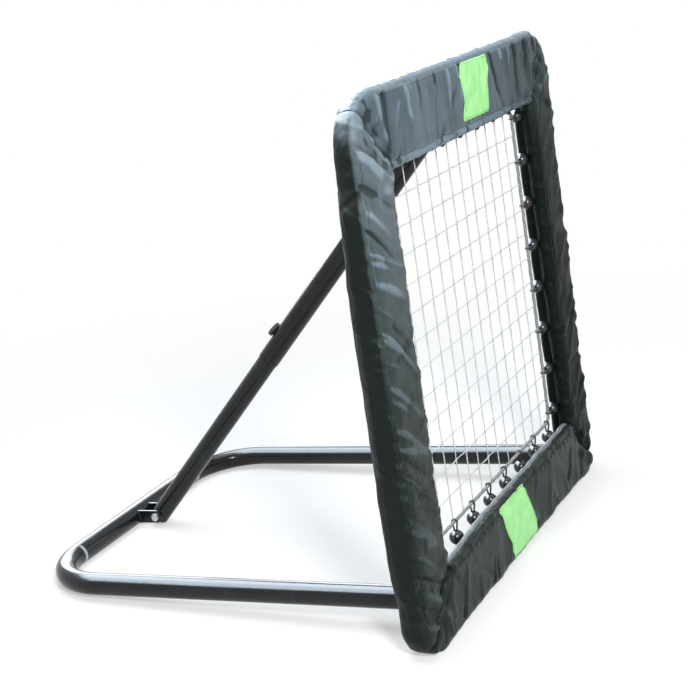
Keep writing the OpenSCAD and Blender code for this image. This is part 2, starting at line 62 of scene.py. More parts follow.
NET_PITCH = 44.0
BASE_R = 19.0
SIDE_X = 315.0                    # base's side tubes from the middle
BASE_LEN = 750.220
SLOPE = math.radians(2.71222)
LOOPS = 8                         # elastic loops on each side
OUTER_LOOP = SIDE_X - 42.0        # outermost loops from the middle
STRUT_R = 19.0
STRUT_SHOW = 414.0                # foot pivot to the outer tube's lower end
FOOT_Y, FOOT_Z = 322.703, 21.603
TURN = math.radians(41.821)       # strut leans this far forwards of the vertical

# Outer corner radii that the covers start from. Filling rounds the lower ones to about the foam's 55.
TOP_R, LOW_R = 85.0, 46.0

BOTTOM, TOP, LEFT, RIGHT = "bottom", "top", "left", "right"
N_AXIS = np.array([0, math.cos(LEAN), -math.sin(LEAN)])


# ---- places ----

def on_frame(u, v, n):
    """Points in metres of the net frame's plane, from u to the right, v up and n backwards in mm.

    v and n start at the hinge line and are turned about it by the lean.
    """
    u, v, n = np.broadcast_arrays(u, v, n)
    s, c = math.sin(LEAN), math.cos(LEAN)
    return np.stack([u, HINGE_Y + v * s + n * c, HINGE_Z + v * c - n * s], -1) * MM


def off_frame(p):
    """The reverse of on_frame: u, v and n in mm of points in metres."""
    s, c = math.sin(LEAN), math.cos(LEAN)
    y, z = p[..., 1] / MM - HINGE_Y, p[..., 2] / MM - HINGE_Z
    return p[..., 0] / MM, y * s + z * c, y * c - z * s


def from_bar(side, a, s, n):
    """A point a along a bar, s inwards from its tube and n backwards, as u, v and n of the frame's plane."""
    if side == BOTTOM:
        return a, s, n
    if side == TOP:
        return a, RISE - s, n
    if side == LEFT:
        return -HALF + s, RISE / 2 + a, n
    return HALF - s, RISE / 2 + a, n


def to_bar(side, u, v, n):
    """The reverse of from_bar."""
    if side == BOTTOM:
        return u, v, n
    if side == TOP:
        return u, RISE - v, n
    if side == LEFT:
        return v - RISE / 2, u + HALF, n
    return v - RISE / 2, HALF - u, n


def on_base(x, along, up):
    """Points of the base's own sloping plane: along runs back from the hinge line; mm to metres."""
    x, along, up = np.broadcast_arrays(x, along, up)
    s, c = math.sin(SLOPE), math.cos(SLOPE)
    return np.stack([x, HINGE_Y + along * c + up * s, HINGE_Z - along * s + up * c], -1) * MM


def on_strut(x, out, along):
    """Points along the strut from its foot pivot: out is square to it, up and backwards; mm to metres."""
    x, out, along = np.broadcast_arrays(x, out, along)
    s, c = math.sin(TURN), math.cos(TURN)
    return np.stack([x, FOOT_Y + out * c - along * s, FOOT_Z + out * s + along * c], -1) * MM


# ---- meshes ----

def grid_faces(rows, cols, close_rows=False, close_cols=False):
    """Quads of a rows by cols grid of points, wrapped round in either direction if closed."""
    r = np.arange(rows if close_rows else rows - 1)
    c = np.arange(cols if close_cols else cols - 1)
    i, j = np.meshgrid(r, c, indexing="ij")
    k, m = (i + 1) % rows, (j + 1) % cols
    return np.stack([i * cols + j, i * cols + m, k * cols + m, k * cols + j], -1).reshape(-1, 4)


def barrel_faces(count, rows, cols, closed):
    """Faces of a run of alike tubes of rows rings; each open one has a flat cap at both ends."""
    first = np.arange(count)[:, None] * rows * cols
    one = grid_faces(rows, cols, closed, True)
    faces = (one[None] + first[:, :, None]).reshape(-1, 4).tolist()
    if not closed:
        faces += (first + np.arange(cols)[::-1]).tolist()
        faces += (first + (rows - 1) * cols + np.arange(cols)).tolist()
    return faces


def mesh_object(name, points, faces, uv=None, smooth=True):
    """A mesh of points in metres and a list or array of faces, with a UV for each vertex if given."""
    mesh = bpy.data.meshes.new(name)
    faces = faces if isinstance(faces, list) else faces.tolist()
    mesh.from_pydata(np.asarray(points, float).reshape(-1, 3).tolist(), [], faces)
    if uv is not None:
        layer = mesh.uv_layers.new(name="UVMap")
        loops = np.zeros(len(mesh.loops), np.int32)
        mesh.loops.foreach_get("vertex_index", loops)
        layer.data.foreach_set("uv", np.asarray(uv, np.float32).reshape(-1, 2)[loops].ravel())
    if smooth:
        mesh.polygons.foreach_set("use_smooth", np.ones(len(mesh.polygons), bool))
    mesh.update()
    obj = bpy.data.objects.new(name, mesh)
    bpy.context.scene.collection.objects.link(obj)
    return obj


def face_outwards(obj):
    """Turns every face of a closed mesh outwards."""
    work = bmesh.new()
    work.from_mesh(obj.data)
    bmesh.ops.recalc_face_normals(work, faces=work.faces)
    work.to_mesh(obj.data)
    work.free()
    return obj


def tubes(paths, plane, radius, sides, closed, twist=0.0, lobes=0, lobe_depth=0.0):
    """Round cords along planar paths.

    paths is (count, steps, 3) in metres and plane a unit normal to them all. Round each path the
    profile is radius times (1 + lobe_depth * cos(lobes * (angle - twist * arc length))). Returns
    points, faces and UVs, u round the cord and v its arc length in metres.
    """
    count, steps, _ = paths.shape
    if closed:
        tangent = np.roll(paths, -1, 1) - np.roll(paths, 1, 1)
        step = np.linalg.norm(paths - np.roll(paths, 1, 1), axis=-1)
        step[:, 0] = 0
    else:
        tangent = np.gradient(paths, axis=1)
        step = np.linalg.norm(np.diff(paths, axis=1, prepend=paths[:, :1]), axis=-1)
    arc = np.cumsum(step, 1)
    tangent = tangent / np.linalg.norm(tangent, axis=-1, keepdims=True)
    b = np.broadcast_to(np.asarray(plane, float), paths.shape)
    b = b - tangent * np.sum(tangent * b, -1, keepdims=True)
    b = b / np.linalg.norm(b, axis=-1, keepdims=True)
    nrm = np.cross(b, tangent)
    angle = np.arange(sides) * 2 * np.pi / sides
    r = radius * (1 + lobe_depth * np.cos(lobes * (angle[None, None] - twist * arc[..., None])))
    ring = np.cos(angle)[:, None] * nrm[:, :, None] + np.sin(angle)[:, None] * b[:, :, None]
    points = paths[:, :, None] + r[..., None] * ring
    uv = np.stack(np.broadcast_arrays(angle / (2 * np.pi), arc[..., None]), -1)
    return points.reshape(-1, 3), barrel_faces(count, steps, sides, closed), uv.reshape(-1, 2)


def make_tubes(name, paths, plane, radius, sides, closed, **more):
    """One object of the cords that tubes() gives."""
    points, faces, uv = tubes(paths, plane, radius, sides, closed, **more)
    return face_outwards(mesh_object(name, points, faces, uv))


def resample(path, steps, closed=False):
    """The same line with its points evenly spaced along it."""
    if closed:
        path = np.vstack([path, path[:1]])
    arc = np.concatenate([[0], np.cumsum(np.linalg.norm(np.diff(path, axis=0), axis=1))])
    at = np.linspace(0, arc[-1], steps + 1)[:-1] if closed else np.linspace(0, arc[-1], steps)
    return np.stack([np.interp(at, arc, path[:, k]) for k in range(path.shape[1])], -1)


def rounded(corners, steps=7):
    """Closed outline through (x, y, radius) corners, each rounded by an arc of its radius."""
    pts = np.array(corners, float)
    out = []
    for i in range(len(pts)):
        a, b, c = pts[i - 1, :2], pts[i, :2], pts[(i + 1) % len(pts), :2]
        r = max(pts[i, 2], 0.5)
        u, v = (a - b) / np.linalg.norm(a - b), (c - b) / np.linalg.norm(c - b)
        half = math.acos(np.clip(u @ v, -1, 1)) / 2
        mid = (u + v) / np.linalg.norm(u + v)
        centre = b + mid * r / math.sin(half)
        p, q = b + u * r / math.tan(half) - centre, b + v * r / math.tan(half) - centre
        start = math.atan2(p[1], p[0])
        sweep = (math.atan2(q[1], q[0]) - start + math.pi) % (2 * math.pi) - math.pi
        at = start + sweep * np.linspace(0, 1, steps)
        out.append(centre + r * np.stack([np.cos(at), np.sin(at)], -1))
    return np.vstack(out)


# ---- materials ----

class Shade:
    """A socket of a material under construction; sums on it become Math nodes."""

    def __init__(self, tree, socket):
        self.tree, self.socket = tree, socket

    def _math(self, operation, *terms):
        """A Math node on the given terms."""
        return self.tree.node("ShaderNodeMath", {"operation": operation}, dict(enumerate(terms)))

    def __add__(self, x):
        return self._math("ADD", self, x)

    def __sub__(self, x):
        return self._math("SUBTRACT", self, x)

    def __rsub__(self, x):
        return self._math("SUBTRACT", x, self)

    def __mul__(self, x):
        return self._math("MULTIPLY", self, x)

    __radd__, __rmul__ = __add__, __mul__

    def absolute(self):
        """The value without its sign."""
        return self._math("ABSOLUTE", self)

    def sine(self):
        """The sine of the value, in radians."""
        return self._math("SINE", self)

    def root(self):
        """The square root of the value."""
        return self._math("SQRT", self)

    def clip(self):
        """The value, held between 0 and 1."""
        return self._math("MINIMUM", self._math("MAXIMUM", self, 0.0), 1.0)

    def step(self, low, high, to_low=0.0, to_high=1.0):
        """Smooth step from to_low at low to to_high at high."""
        return self.tree.node(
            "ShaderNodeMapRange", {"interpolation_type": "SMOOTHSTEP"},
            {"Value": self, "From Min": low, "From Max": high, "To Min": to_low, "To Max": to_high})


class Tree:
    """The nodes of a material or of the world."""

    def __init__(self, tree):
        self.tree = tree

    def node(self, kind, settings, inputs, output=0):
        """Adds a node, with its settings first and then the values or links of its sockets."""
        made = self.tree.nodes.new(kind)
        for key, value in settings.items():
            setattr(made, key, value)
        for key, value in inputs.items():
            if isinstance(value, Shade):
                self.tree.links.new(value.socket, made.inputs[key])
            else:
                made.inputs[key].default_value = value
        return Shade(self, made.outputs[output])

    def sharp_rays(self):
        """1 for rays from the camera, off glossy faces and through glass, and 0 for all others."""
        rays = [self.node("ShaderNodeLightPath", {}, {}, "Is " + kind + " Ray")
                for kind in ("Camera", "Glossy", "Transmission")]
        return (rays[0] + rays[1] + rays[2]).clip()


class Finish(Tree):
    """One procedural material on Object coordinates, or on the piece's UV map."""

    def __init__(self, name, **constants):
        self.material = bpy.data.materials.new(name)
        self.material.use_nodes = True
        super().__init__(self.material.node_tree)
        self.shader = self.tree.nodes["Principled BSDF"]
        for key, value in constants.items():
            self.shader.inputs[key.replace("_", " ")].default_value = value

    def coordinates(self, scale=(1, 1, 1), turn=(0, 0, 0)):
        """Object coordinates in metres, turned and scaled."""
        where = self.node("ShaderNodeTexCoord", {}, {}, "Object")
        return self.node("ShaderNodeMapping", {}, {"Vector": where, "Scale": scale, "Rotation": turn})

    def noise(self, scale, detail, rough, where=None, warp=0.0):
        """Cloudy noise with scale cells in a metre."""
        return self.node(
            "ShaderNodeTexNoise", {},
            {"Vector": where or self.coordinates(), "Scale": scale, "Detail": detail,
             "Roughness": rough, "Distortion": warp})

    def wave(self, scale, where, direction):
        """Straight even ribs across a direction."""
        return self.node(
            "ShaderNodeTexWave", {"bands_direction": direction}, {"Vector": where, "Scale": scale})

    def blend(self, mask, low, high):
        """Colour low where mask is 0 and high where it is 1."""
        return self.node(
            "ShaderNodeMix", {"data_type": "RGBA"},
            {0: mask, 6: low if isinstance(low, Shade) else (*low, 1),
             7: high if isinstance(high, Shade) else (*high, 1)}, 2)

    def attribute(self, name):
        """The number that a piece's mesh keeps for each vertex under a name."""
        return self.node("ShaderNodeAttribute", {"attribute_name": name}, {}, "Fac")

    def parts(self, vector):
        """The three numbers of a vector."""
        made = self.tree.nodes.new("ShaderNodeSeparateXYZ")
        self.tree.links.new(vector.socket, made.inputs[0])
        return [Shade(self, made.outputs[i]) for i in range(3)]

    def bump(self, height, distance, strength, over=None):
        """A normal from a height that is distance metres deep, over another normal if given."""
        inputs = {"Height": height, "Distance": distance, "Strength": strength}
        if over is not None:
            inputs["Normal"] = over
        return self.node("ShaderNodeBump", {}, inputs)

    def feed(self, **links):
        """Links values to the shader's sockets and gives the finished material."""
        for key, value in links.items():
            self.tree.links.new(value.socket, self.shader.inputs[key.replace("_", " ")])
        return self.material


def coated_nylon(name, dark, light, pale_lit_and_bleached, lie=(0.45, 0), sheen_and_bleach_span=(0.15, 0.78), hem=None, shade=0.0, gloss=0.12):
    """Urethane-coated nylon: fine plain weave, soft creases at two sizes and dusty patches. Its front turns
    paler towards the top of the frame, as painted sky sheen and bleaching by daylight, and its sides keep the
    dark colour, as painted shade.

    The cover's "fold" attribute, its folds' height in mm, makes the ridges paler and smoother, a painted
    highlight together with rub wear, and the valleys dark, as painted shade. Its "up" attribute, how far the
    cloth faces the sky, paints a pale sky reflection on it and gives it a clear coat. lie is how far the
    creases are drawn out, as a scale along them, and their slant in radians. sheen_and_bleach_span is where
    the paler top starts and ends in v, in metres. hem is an optional band of v, in mm, with a painted
    highlight on the binding, and shade is how much painted shade darkens the right-hand end.
    """
    f = Finish(name, Specular_IOR_Level=gloss, Coat_Roughness=0.30)
    here = f.coordinates()
    x, y, z = f.parts(here)
    v = (z - HINGE_Z * MM) * math.cos(LEAN) + (y - HINGE_Y * MM) * math.sin(LEAN)
    n = (y - HINGE_Y * MM) * math.cos(LEAN) - (z - HINGE_Z * MM) * math.sin(LEAN)
    # The sides behind the front's seam keep the dark colour: painted shade.
    face = n.step(-0.014, -0.020)
    # Paler towards the top of the frame: painted sky sheen, with bleaching by daylight.
    sheen_and_bleach = v.step(*sheen_and_bleach_span)
    weave = f.wave(900, here, "X") + f.wave(900, here, "Z")
    fold, up = f.attribute("fold"), f.attribute("up")
    valley, ridge = fold.step(-0.3, -2.4), fold.step(1.5, 4.2)
    crease = f.noise(21, 3, 0.55, f.coordinates(scale=(1, 1, lie[0]), turn=(0, lie[1], 0)), 0.7)
    fine = f.noise(95, 4, 0.62, warp=0.6)
    dust = f.noise(7, 4, 0.6).step(0.42, 0.72)
    height = f.bump(crease, 0.011, 0.6)
    height = f.bump(fine, 0.0008, 0.45, height)
    height = f.bump(weave, 0.00010, 0.3, height)
    painted_light_bleach_and_dust = face * (sheen_and_bleach * 0.80 + 0.20) * (dust * 0.25 + 0.75)
    colour = f.blend(painted_light_bleach_and_dust, dark, light)
    # The front paler still towards the top: painted sky sheen, with bleaching by daylight.
    colour = f.blend(face * sheen_and_bleach * sheen_and_bleach * (crease.step(0.30, 0.75) * 0.5 + 0.35), colour, pale_lit_and_bleached)
    # Painted highlight: a paler band along the hem binding.
    if hem:
        low, high = hem
        band = v.step((low - 1.5) * MM, (low + 0.5) * MM) * v.step((high + 4) * MM, (high - 3) * MM)
        colour = f.blend(band * 0.6 * crease.step(0.25, 0.6, 0.55, 1.0), colour, [c * 1.7 for c in pale_lit_and_bleached])
    # Painted shade: the right-hand end darker.
    if shade:
        colour = f.blend(x.step(0.02, 0.34) * shade, colour, dark)
    # Painted highlight, with rub wear: the fold ridges paler.
    colour = f.blend(ridge * face * (sheen_and_bleach * 0.85 + 0.15) * 0.58, colour, [c * 1.9 for c in pale_lit_and_bleached])
    # Painted sky reflection: cloth turned towards the sky made paler.
    colour = f.blend(up * sheen_and_bleach * 0.7, colour, [c * 2.2 for c in pale_lit_and_bleached])
    # Painted shade: the fold valleys darker.
    colour = f.blend(valley * 0.78, colour, dark)
    return f.feed(Base_Color=colour, Roughness=fine * 0.16 + 0.29 + dust * 0.08 - ridge * 0.10,
                  Coat_Weight=up * sheen_and_bleach * 0.4, Normal=height)


def powder_coat(name, base, joint=None):
    """Glossy black powder coat: slight orange peel, faint rubs and dust.

    joint is the plug joints' distance from the middle, in mm; there a narrow pale grey ring is painted,
    broken by noise.
    """
    f = Finish(name, Specular_IOR_Level=0.28)
    peel = f.noise(420, 2, 0.5)
    rubs = f.noise(38, 5, 0.65, f.coordinates(scale=(0.4, 1, 1)), 1.2).step(0.58, 0.72)
    dust = f.noise(11, 3, 0.6).step(0.45, 0.75)
    colour = f.blend(dust * 0.4, base, [x * 1.8 + 0.003 for x in base])
    colour = f.blend(rubs * 0.25, colour, [x * 3.0 + 0.01 for x in base])
    if joint:
        x, y, _ = f.parts(f.coordinates())
        # A narrow pale grey ring at each joint, broken by noise.
        away = (x.absolute() - joint * MM).absolute()
        ring = away.step(0.0042, 0.0024) * y.step(0.30, 0.31) * f.noise(90, 2, 0.5).step(0.30, 0.5)
        colour = f.blend(ring * 0.8, colour, (0.42, 0.45, 0.48))
    return f.feed(
        Base_Color=colour, Roughness=0.17 + rubs * 0.14 + dust * 0.06,
        Normal=f.bump(peel, 0.00018, 0.4))


def zinc(name):
    """Bright zinc plate: pale blue-grey with a yellow passivation cast and turning marks."""
    f = Finish(name, Metallic=1.0)
    cast = f.noise(60, 3, 0.6)
    marks = f.noise(900, 2, 0.5, f.coordinates(scale=(0.1, 1, 1)))
    colour = f.blend(cast.step(0.35, 0.7), (0.58, 0.60, 0.63), (0.66, 0.63, 0.50))
    return f.feed(Base_Color=colour, Roughness=0.24 + marks * 0.22, Normal=f.bump(marks, 0.0001, 0.4))


def moulded(name, base, rough, grain=0.35):
    """Moulded plastic: fine spark-erosion grain and slight colour drift."""
    f = Finish(name, Specular_IOR_Level=0.5)
    pits = f.noise(1400, 2, 0.6)
    tone = f.noise(30, 3, 0.5)
    colour = f.blend(tone.step(0.3, 0.75), base, [x * 1.5 + 0.006 for x in base])
    return f.feed(Base_Color=colour, Roughness=rough + pits * 0.12, Normal=f.bump(pits, 0.00015, grain))


def twisted_cord(name, dark, light, pitch, strands, rough=0.7):
    """Twisted or braided cord on its UV map: strands wind round at the given pitch in metres."""
    f = Finish(name, Specular_IOR_Level=0.35)
    around, along, _ = f.parts(f.node("ShaderNodeTexCoord", {}, {}, "UV"))
    phase = around * (2 * math.pi * strands) + along * (2 * math.pi * strands / pitch)
    lay = phase.sine() * 0.5 + 0.5
    fuzz = f.noise(700, 3, 0.6)
    colour = f.blend(lay * 0.75 + fuzz * 0.25, dark, light)
    return f.feed(Base_Color=colour, Roughness=rough + fuzz * 0.15, Normal=f.bump(lay, 0.0005, 0.8))


def braided_cord(name, base, fleck, pitch, strands):
    """Elastic cord's braided sleeve: two sets of strands cross, a pitch in metres long, with pale flecks."""
    f = Finish(name, Specular_IOR_Level=0.35)
    around, along, _ = f.parts(f.node("ShaderNodeTexCoord", {}, {}, "UV"))
    round_it = around * (2 * math.pi * strands)
    one = round_it + along * (2 * math.pi / pitch)
    two = round_it - along * (2 * math.pi / pitch)
    braid = one.sine() * two.sine() * 0.5 + 0.5
    colour = f.blend(braid.step(0.80, 0.95) * 0.6, base, fleck)
    return f.feed(Base_Color=colour, Roughness=0.6 + braid * 0.15, Normal=f.bump(braid, 0.0003, 0.7))


def patch_cloth(name, base, pale):
    """Woven badge cloth: tight twill, slightly mottled, with a satin edge."""
    f = Finish(name, Specular_IOR_Level=0.3)
    here = f.coordinates(turn=(0, math.radians(38), 0))
    twill = f.wave(420, here, "X")
    mottle = f.noise(45, 4, 0.6)
    colour = f.blend(mottle.step(0.35, 0.7), base, pale)
    colour = f.blend(twill * 0.18, colour, [x * 0.7 for x in base])
    return f.feed(Base_Color=colour, Roughness=0.55 + mottle * 0.15, Normal=f.bump(twill, 0.0002, 0.5))


def plain(name, colour, rough):
    """One even colour, slightly clouded."""
    f = Finish(name)
    tone = f.noise(200, 2, 0.5)
    cloudy = f.blend(tone, colour, [x * 1.25 + 0.003 for x in colour])
    return f.feed(Base_Color=cloudy, Roughness=rough + tone * 0.1)


TOP_HEM = RISE + INSET - TOP_WIDE     # lower edge of the top pad
JOINT_X = 199.7                       # crossbar's plug joints from the middle

NYLON = coated_nylon(
    "pad_nylon", (0.005, 0.009, 0.007), (0.037, 0.058, 0.054), (0.136, 0.176, 0.210), lie=(0.4, -0.8))
# A darker copy of the pad nylon for the right pad: painted shade.
NYLON_SHADED = coated_nylon(
    "pad_nylon_shaded", (0.004, 0.008, 0.006), (0.008, 0.014, 0.012), (0.075, 0.096, 0.108),
    lie=(0.4, 0.7), sheen_and_bleach_span=(0.50, 0.82), gloss=0.04)
# The top pad's copy of the nylon, tinted bluer: painted sky reflection.
NYLON_TOP = coated_nylon(
    "pad_nylon_top", (0.006, 0.011, 0.012), (0.030, 0.050, 0.060), (0.099, 0.136, 0.165),
    lie=(0.22, 0.1), hem=(TOP_HEM - 6, TOP_HEM + 17), shade=0.75)
# The hem roll's pale colour is painted sky light.
BINDING = plain("hem_binding", (0.110, 0.132, 0.145), 0.42)
FLAP_CLOTH = coated_nylon(
    "closure_nylon", (0.009, 0.012, 0.012), (0.030, 0.036, 0.038), (0.060, 0.070, 0.076))
COAT = powder_coat("black_powder_coat", (0.006, 0.0075, 0.009), JOINT_X)
ZINC = zinc("zinc_plate")
NYLON_PLUG = moulded("black_nylon", (0.020, 0.020, 0.022), 0.5)
KNOB = moulded("knob_black", (0.014, 0.014, 0.015), 0.42)
BALL = moulded("ball_black", (0.010, 0.011, 0.013), 0.16, 0.05)
NET = twisted_cord("net_polyester", (0.36, 0.38, 0.37), (0.64, 0.66, 0.64), 0.009, 3)
ROPE = twisted_cord("rope_polyester", (0.10, 0.11, 0.11), (0.30, 0.32, 0.31), 0.024, 3)
ELASTIC = braided_cord("elastic_braid", (0.012, 0.012, 0.013), (0.16, 0.17, 0.17), 0.0032, 4)
PATCH = patch_cloth("patch_green", (0.29, 0.67, 0.25), (0.37, 0.75, 0.31))
THREAD = twisted_cord("sewing_thread", (0.020, 0.024, 0.024), (0.060, 0.070, 0.070), 0.002, 2, 0.55)
THREAD_GREEN = twisted_cord("patch_thread", (0.16, 0.46, 0.14), (0.30, 0.66, 0.26), 0.002, 2, 0.55)
WELD = powder_coat("weld_powder_coat", (0.014, 0.016, 0.020))


def dress(node, material):
    """Gives a CAD node its finish."""
    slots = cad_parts[node].data.materials
    slots.clear()
    slots.append(material)


NODE_FINISH = {
    COAT: ["side_tube_left", "side_tube_right", "rear_crossbar", "hinge_sleeve_left", "hinge_sleeve_right",
           "foot_bracket", "frame_tube_lower", "frame_tube_upper", "top_bracket", "strut_inner_tube",
           "strut_outer_tube", "lock_boss"],
    ZINC: ["crossbar_screws", "foot_pivot_bolt", "foot_pivot_nut", "frame_joint_screws",
           "top_pivot_bolt", "top_pivot_nut", "lock_stud"],
    NYLON_PLUG: ["hinge_bush_left", "hinge_bush_right", "strut_foot_plug", "strut_top_plug"],
    KNOB: ["lock_knob"],
    BALL: ["toggle_balls"],
    NET: ["net"],
    ROPE: ["net_border_rope"],
    ELASTIC: ["bungee_loops"],
}
for finish, nodes in NODE_FINISH.items():
    for node in nodes:
        dress(node, finish)


def keep(obj, material, body, slot, *replaced):
    """Puts a finished piece on its body, in its material, in place of CAD nodes if any; slot is not used."""
    obj.data.materials.clear()
    obj.data.materials.append(material)
    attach(obj, body)
    if replaced:
        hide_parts(*replaced)
    return obj


# ---- pads ----

PAD_WIDE = {TOP: TOP_WIDE, BOTTOM: LOW_WIDE, LEFT: WIDE, RIGHT: WIDE}
PAST_MITRE = 4                    # a cover is first made this much too long, then pressed flat at its mitres


def pad_outline(side):
    """Section of a pad, x backwards and y inwards from the tube's centre, in mm, evenly spaced.

    Its edges stand a little proud of the foam, because the cover draws in there as it fills, and more
    so on the bottom pad, whose front is fuller.
    """
    back, end = DEEP - SET, PAD_WIDE[side] - INSET + 3
    proud, past, edge = (4.5, 5, 4) if side == BOTTOM else (1.0, 1.5, 9)
    front = -SET - proud
    line = rounded([
        (front, -INSET - past, edge), (SIDE_DEEP - SET, -INSET - 1, 16),
        (back, 4, 14), (back - 7, FLAP - INSET, 7),
        (LIP - SET, FLAP - INSET, 5), (LIP - SET, end, 5), (front, end, 6)])
    return resample(line, 96, True)


def taper(side, a, s, n):
    """Draws in the back of the outer side: n is scaled by 1 - k, where k grows towards the frame's top.

    There s also moves inwards, by 0.22 to 0.30 of how far the point lies behind about the front third.
    """
    outer = smooth(-s, 0, 35)
    high, low = 0.30 * np.clip(n + 12, 0, 40) * outer, 0.22 * np.clip(n + 4, 0, 40) * outer
    if side == BOTTOM:
        k = 0
        s = s + low
    elif side == TOP:
        k = 0.25 + 0.17 * smooth(np.abs(a), 200, 380)
        s = s + high
    else:
        v = RISE / 2 + a
        k = 0.42 * smooth(v, 430, 720) - 0.10 * smooth(v, 20, 90) * (1 - smooth(v, 120, 380))
        s = s + high * smooth(v, 600, 728) + low * (1 - smooth(v, 0, 130))
    return s, np.where(n > 0, n * (1 - k * outer), n)


def round_plan(side, a, s):
    """Moves points of a bar's square outer corners onto the frame's round corners, along rays."""
    r = np.where(a > 0, TOP_R, LOW_R) if side in (LEFT, RIGHT) else (TOP_R if side == TOP else LOW_R)
    dx, dy = np.abs(a) - (FRAME / 2 - r), (r - INSET) - s
    inside = (dx > 0) & (dy > 0)
    k = np.where(inside, np.minimum(np.maximum(dx, dy), r) / np.maximum(np.hypot(dx, dy), 1e-9), 1)
    na = np.sign(a) * (FRAME / 2 - r + dx * k)
    return np.where(inside, na, a), np.where(inside, (r - INSET) - dy * k, s)


def mitred(t, s):
    """Distance along a bar at share t of its length: t * (half length + excess - mitre * |t|^14).

    The mitre is the section point's distance from the outer edge, or the side pads' width if that is less.
    """
    return t * (FRAME / 2 + PAST_MITRE - np.minimum(s + INSET, WIDE) * np.abs(t) ** 14)


def pad_shell(name, side):
    """A closed foam bar: its section carried along the tube, sheared to 45 degree mitres at the ends."""
    line = pad_outline(side)
    t = np.linspace(-1, 1, 171)[:, None]
    n, s = line[None, :, 0], line[None, :, 1]
    a = mitred(t, s)
    s, n = taper(side, a, np.broadcast_to(s, a.shape), np.broadcast_to(n, a.shape))
    a, s = round_plan(side, mitred(t, s), s)
    points = on_frame(*from_bar(side, a, s, n)).reshape(-1, 3)
    return face_outwards(mesh_object(name, points, barrel_faces(1, *a.shape, False)))


def box_cutter(corners):
    """A box whose eight corners are given as u, v, n limits of the frame's plane."""
    (u0, v0, n0), (u1, v1, n1) = corners
    g = np.array([[u, v, n] for u in (u0, u1) for v in (v0, v1) for n in (n0, n1)], float)
    faces = [[0, 1, 3, 2], [4, 6, 7, 5], [0, 4, 5, 1], [2, 3, 7, 6], [0, 2, 6, 4], [1, 5, 7, 3]]
    return face_outwards(mesh_object("cutter", on_frame(g[:, 0], g[:, 1], g[:, 2]), faces, smooth=False))


def apply_modifiers(obj):
    """Makes the shape that an object's modifiers give its own mesh."""
    graph = bpy.context.evaluated_depsgraph_get()
    graph.update()
    done = bpy.data.meshes.new_from_object(obj.evaluated_get(graph))
    obj.modifiers.clear()
    old, obj.data = obj.data, done
    bpy.data.meshes.remove(old)
    return obj


def cut(obj, corners):
    """Takes a box, given by its two corners, out of a closed mesh."""
    cutter = box_cutter(corners)
    m = obj.modifiers.new("cut", "BOOLEAN")
    m.object, m.operation, m.solver = cutter, "DIFFERENCE", "EXACT"
    apply_modifiers(obj)
    bpy.data.objects.remove(cutter)
    return obj


def get_points(obj, what="co"):
    """The mesh's vertices in metres, or their normals if what is "normal"."""
    values = np.zeros(len(obj.data.vertices) * 3, np.float32)
    obj.data.vertices.foreach_get(what, values)
    return values.reshape(-1, 3).astype(float)


def set_points(obj, points):
    """Moves the mesh's vertices to points in metres."""
    obj.data.vertices.foreach_set("co", np.asarray(points, np.float32).ravel())
    obj.data.update()


def set_values(obj, name, values):
    """Keeps a number for each vertex under a name that the materials read."""
    layer = obj.data.attributes.new(name, "FLOAT", "POINT")
    layer.data.foreach_set("value", values.astype(np.float32))


def remesh(obj, voxel):
    """Makes a closed mesh again out of even quads of about voxel metres."""
    m = obj.modifiers.new("remesh", "REMESH")
    m.mode, m.voxel_size, m.use_smooth_shade = "VOXEL", voxel, True
    return apply_modifiers(obj)


def inflate(obj, cap, frames, pressure, slack):
    """Lets the cover billow over its foam as cloth, with a little spare length, and no point past cap mm."""
    start = get_points(obj)
    m = obj.modifiers.new("cloth", "CLOTH")
    c = m.settings
    c.quality, c.mass = 6, 0.25
    c.tension_stiffness = c.compression_stiffness = 25
    c.shear_stiffness, c.bending_stiffness = 8, 0.35
    c.shrink_min = slack
    c.use_pressure, c.uniform_pressure_force = True, pressure
    c.effector_weights.gravity = 0
    m.collision_settings.use_collision = False
    m.point_cache.frame_start, m.point_cache.frame_end = 1, frames
    scene = bpy.context.scene
    for at in range(1, frames + 1):
        scene.frame_set(at)
    apply_modifiers(obj)
    scene.frame_set(1)
    moved = get_points(obj) - start
    far = np.linalg.norm(moved, axis=1, keepdims=True)
    moved *= np.minimum(1, cap * MM / np.maximum(far, 1e-9))
    set_points(obj, start + moved)
    return obj


def subdivide(obj):
    """Splits every face in four, smoothly."""
    m = obj.modifiers.new("subdivide", "SUBSURF")
    m.levels = m.render_levels = 1
    return apply_modifiers(obj)


def bell(x, width):
    """1 at x = 0, and e^-(x / width)^2 away from it."""
    return np.exp(-(x / width) ** 2)


def smooth(x, low, high):
    """3 t^2 - 2 t^3, where t runs from 0 at low to 1 at high."""
    t = np.clip((x - low) / (high - low), 0, 1)
    return t * t * (3 - 2 * t)


def drift(x, seed, pitch, terms=4):
    """A smooth irregular wave of x, in -1 to 1: a sum of sines with seeded lengths and phases."""
    rng = np.random.default_rng(seed)
    total = 0
    for _ in range(terms):
        length = pitch * rng.uniform(0.6, 2.2)
        total = total + np.sin(x * 2 * np.pi / length + rng.uniform(0, 6.28))
    return total / terms


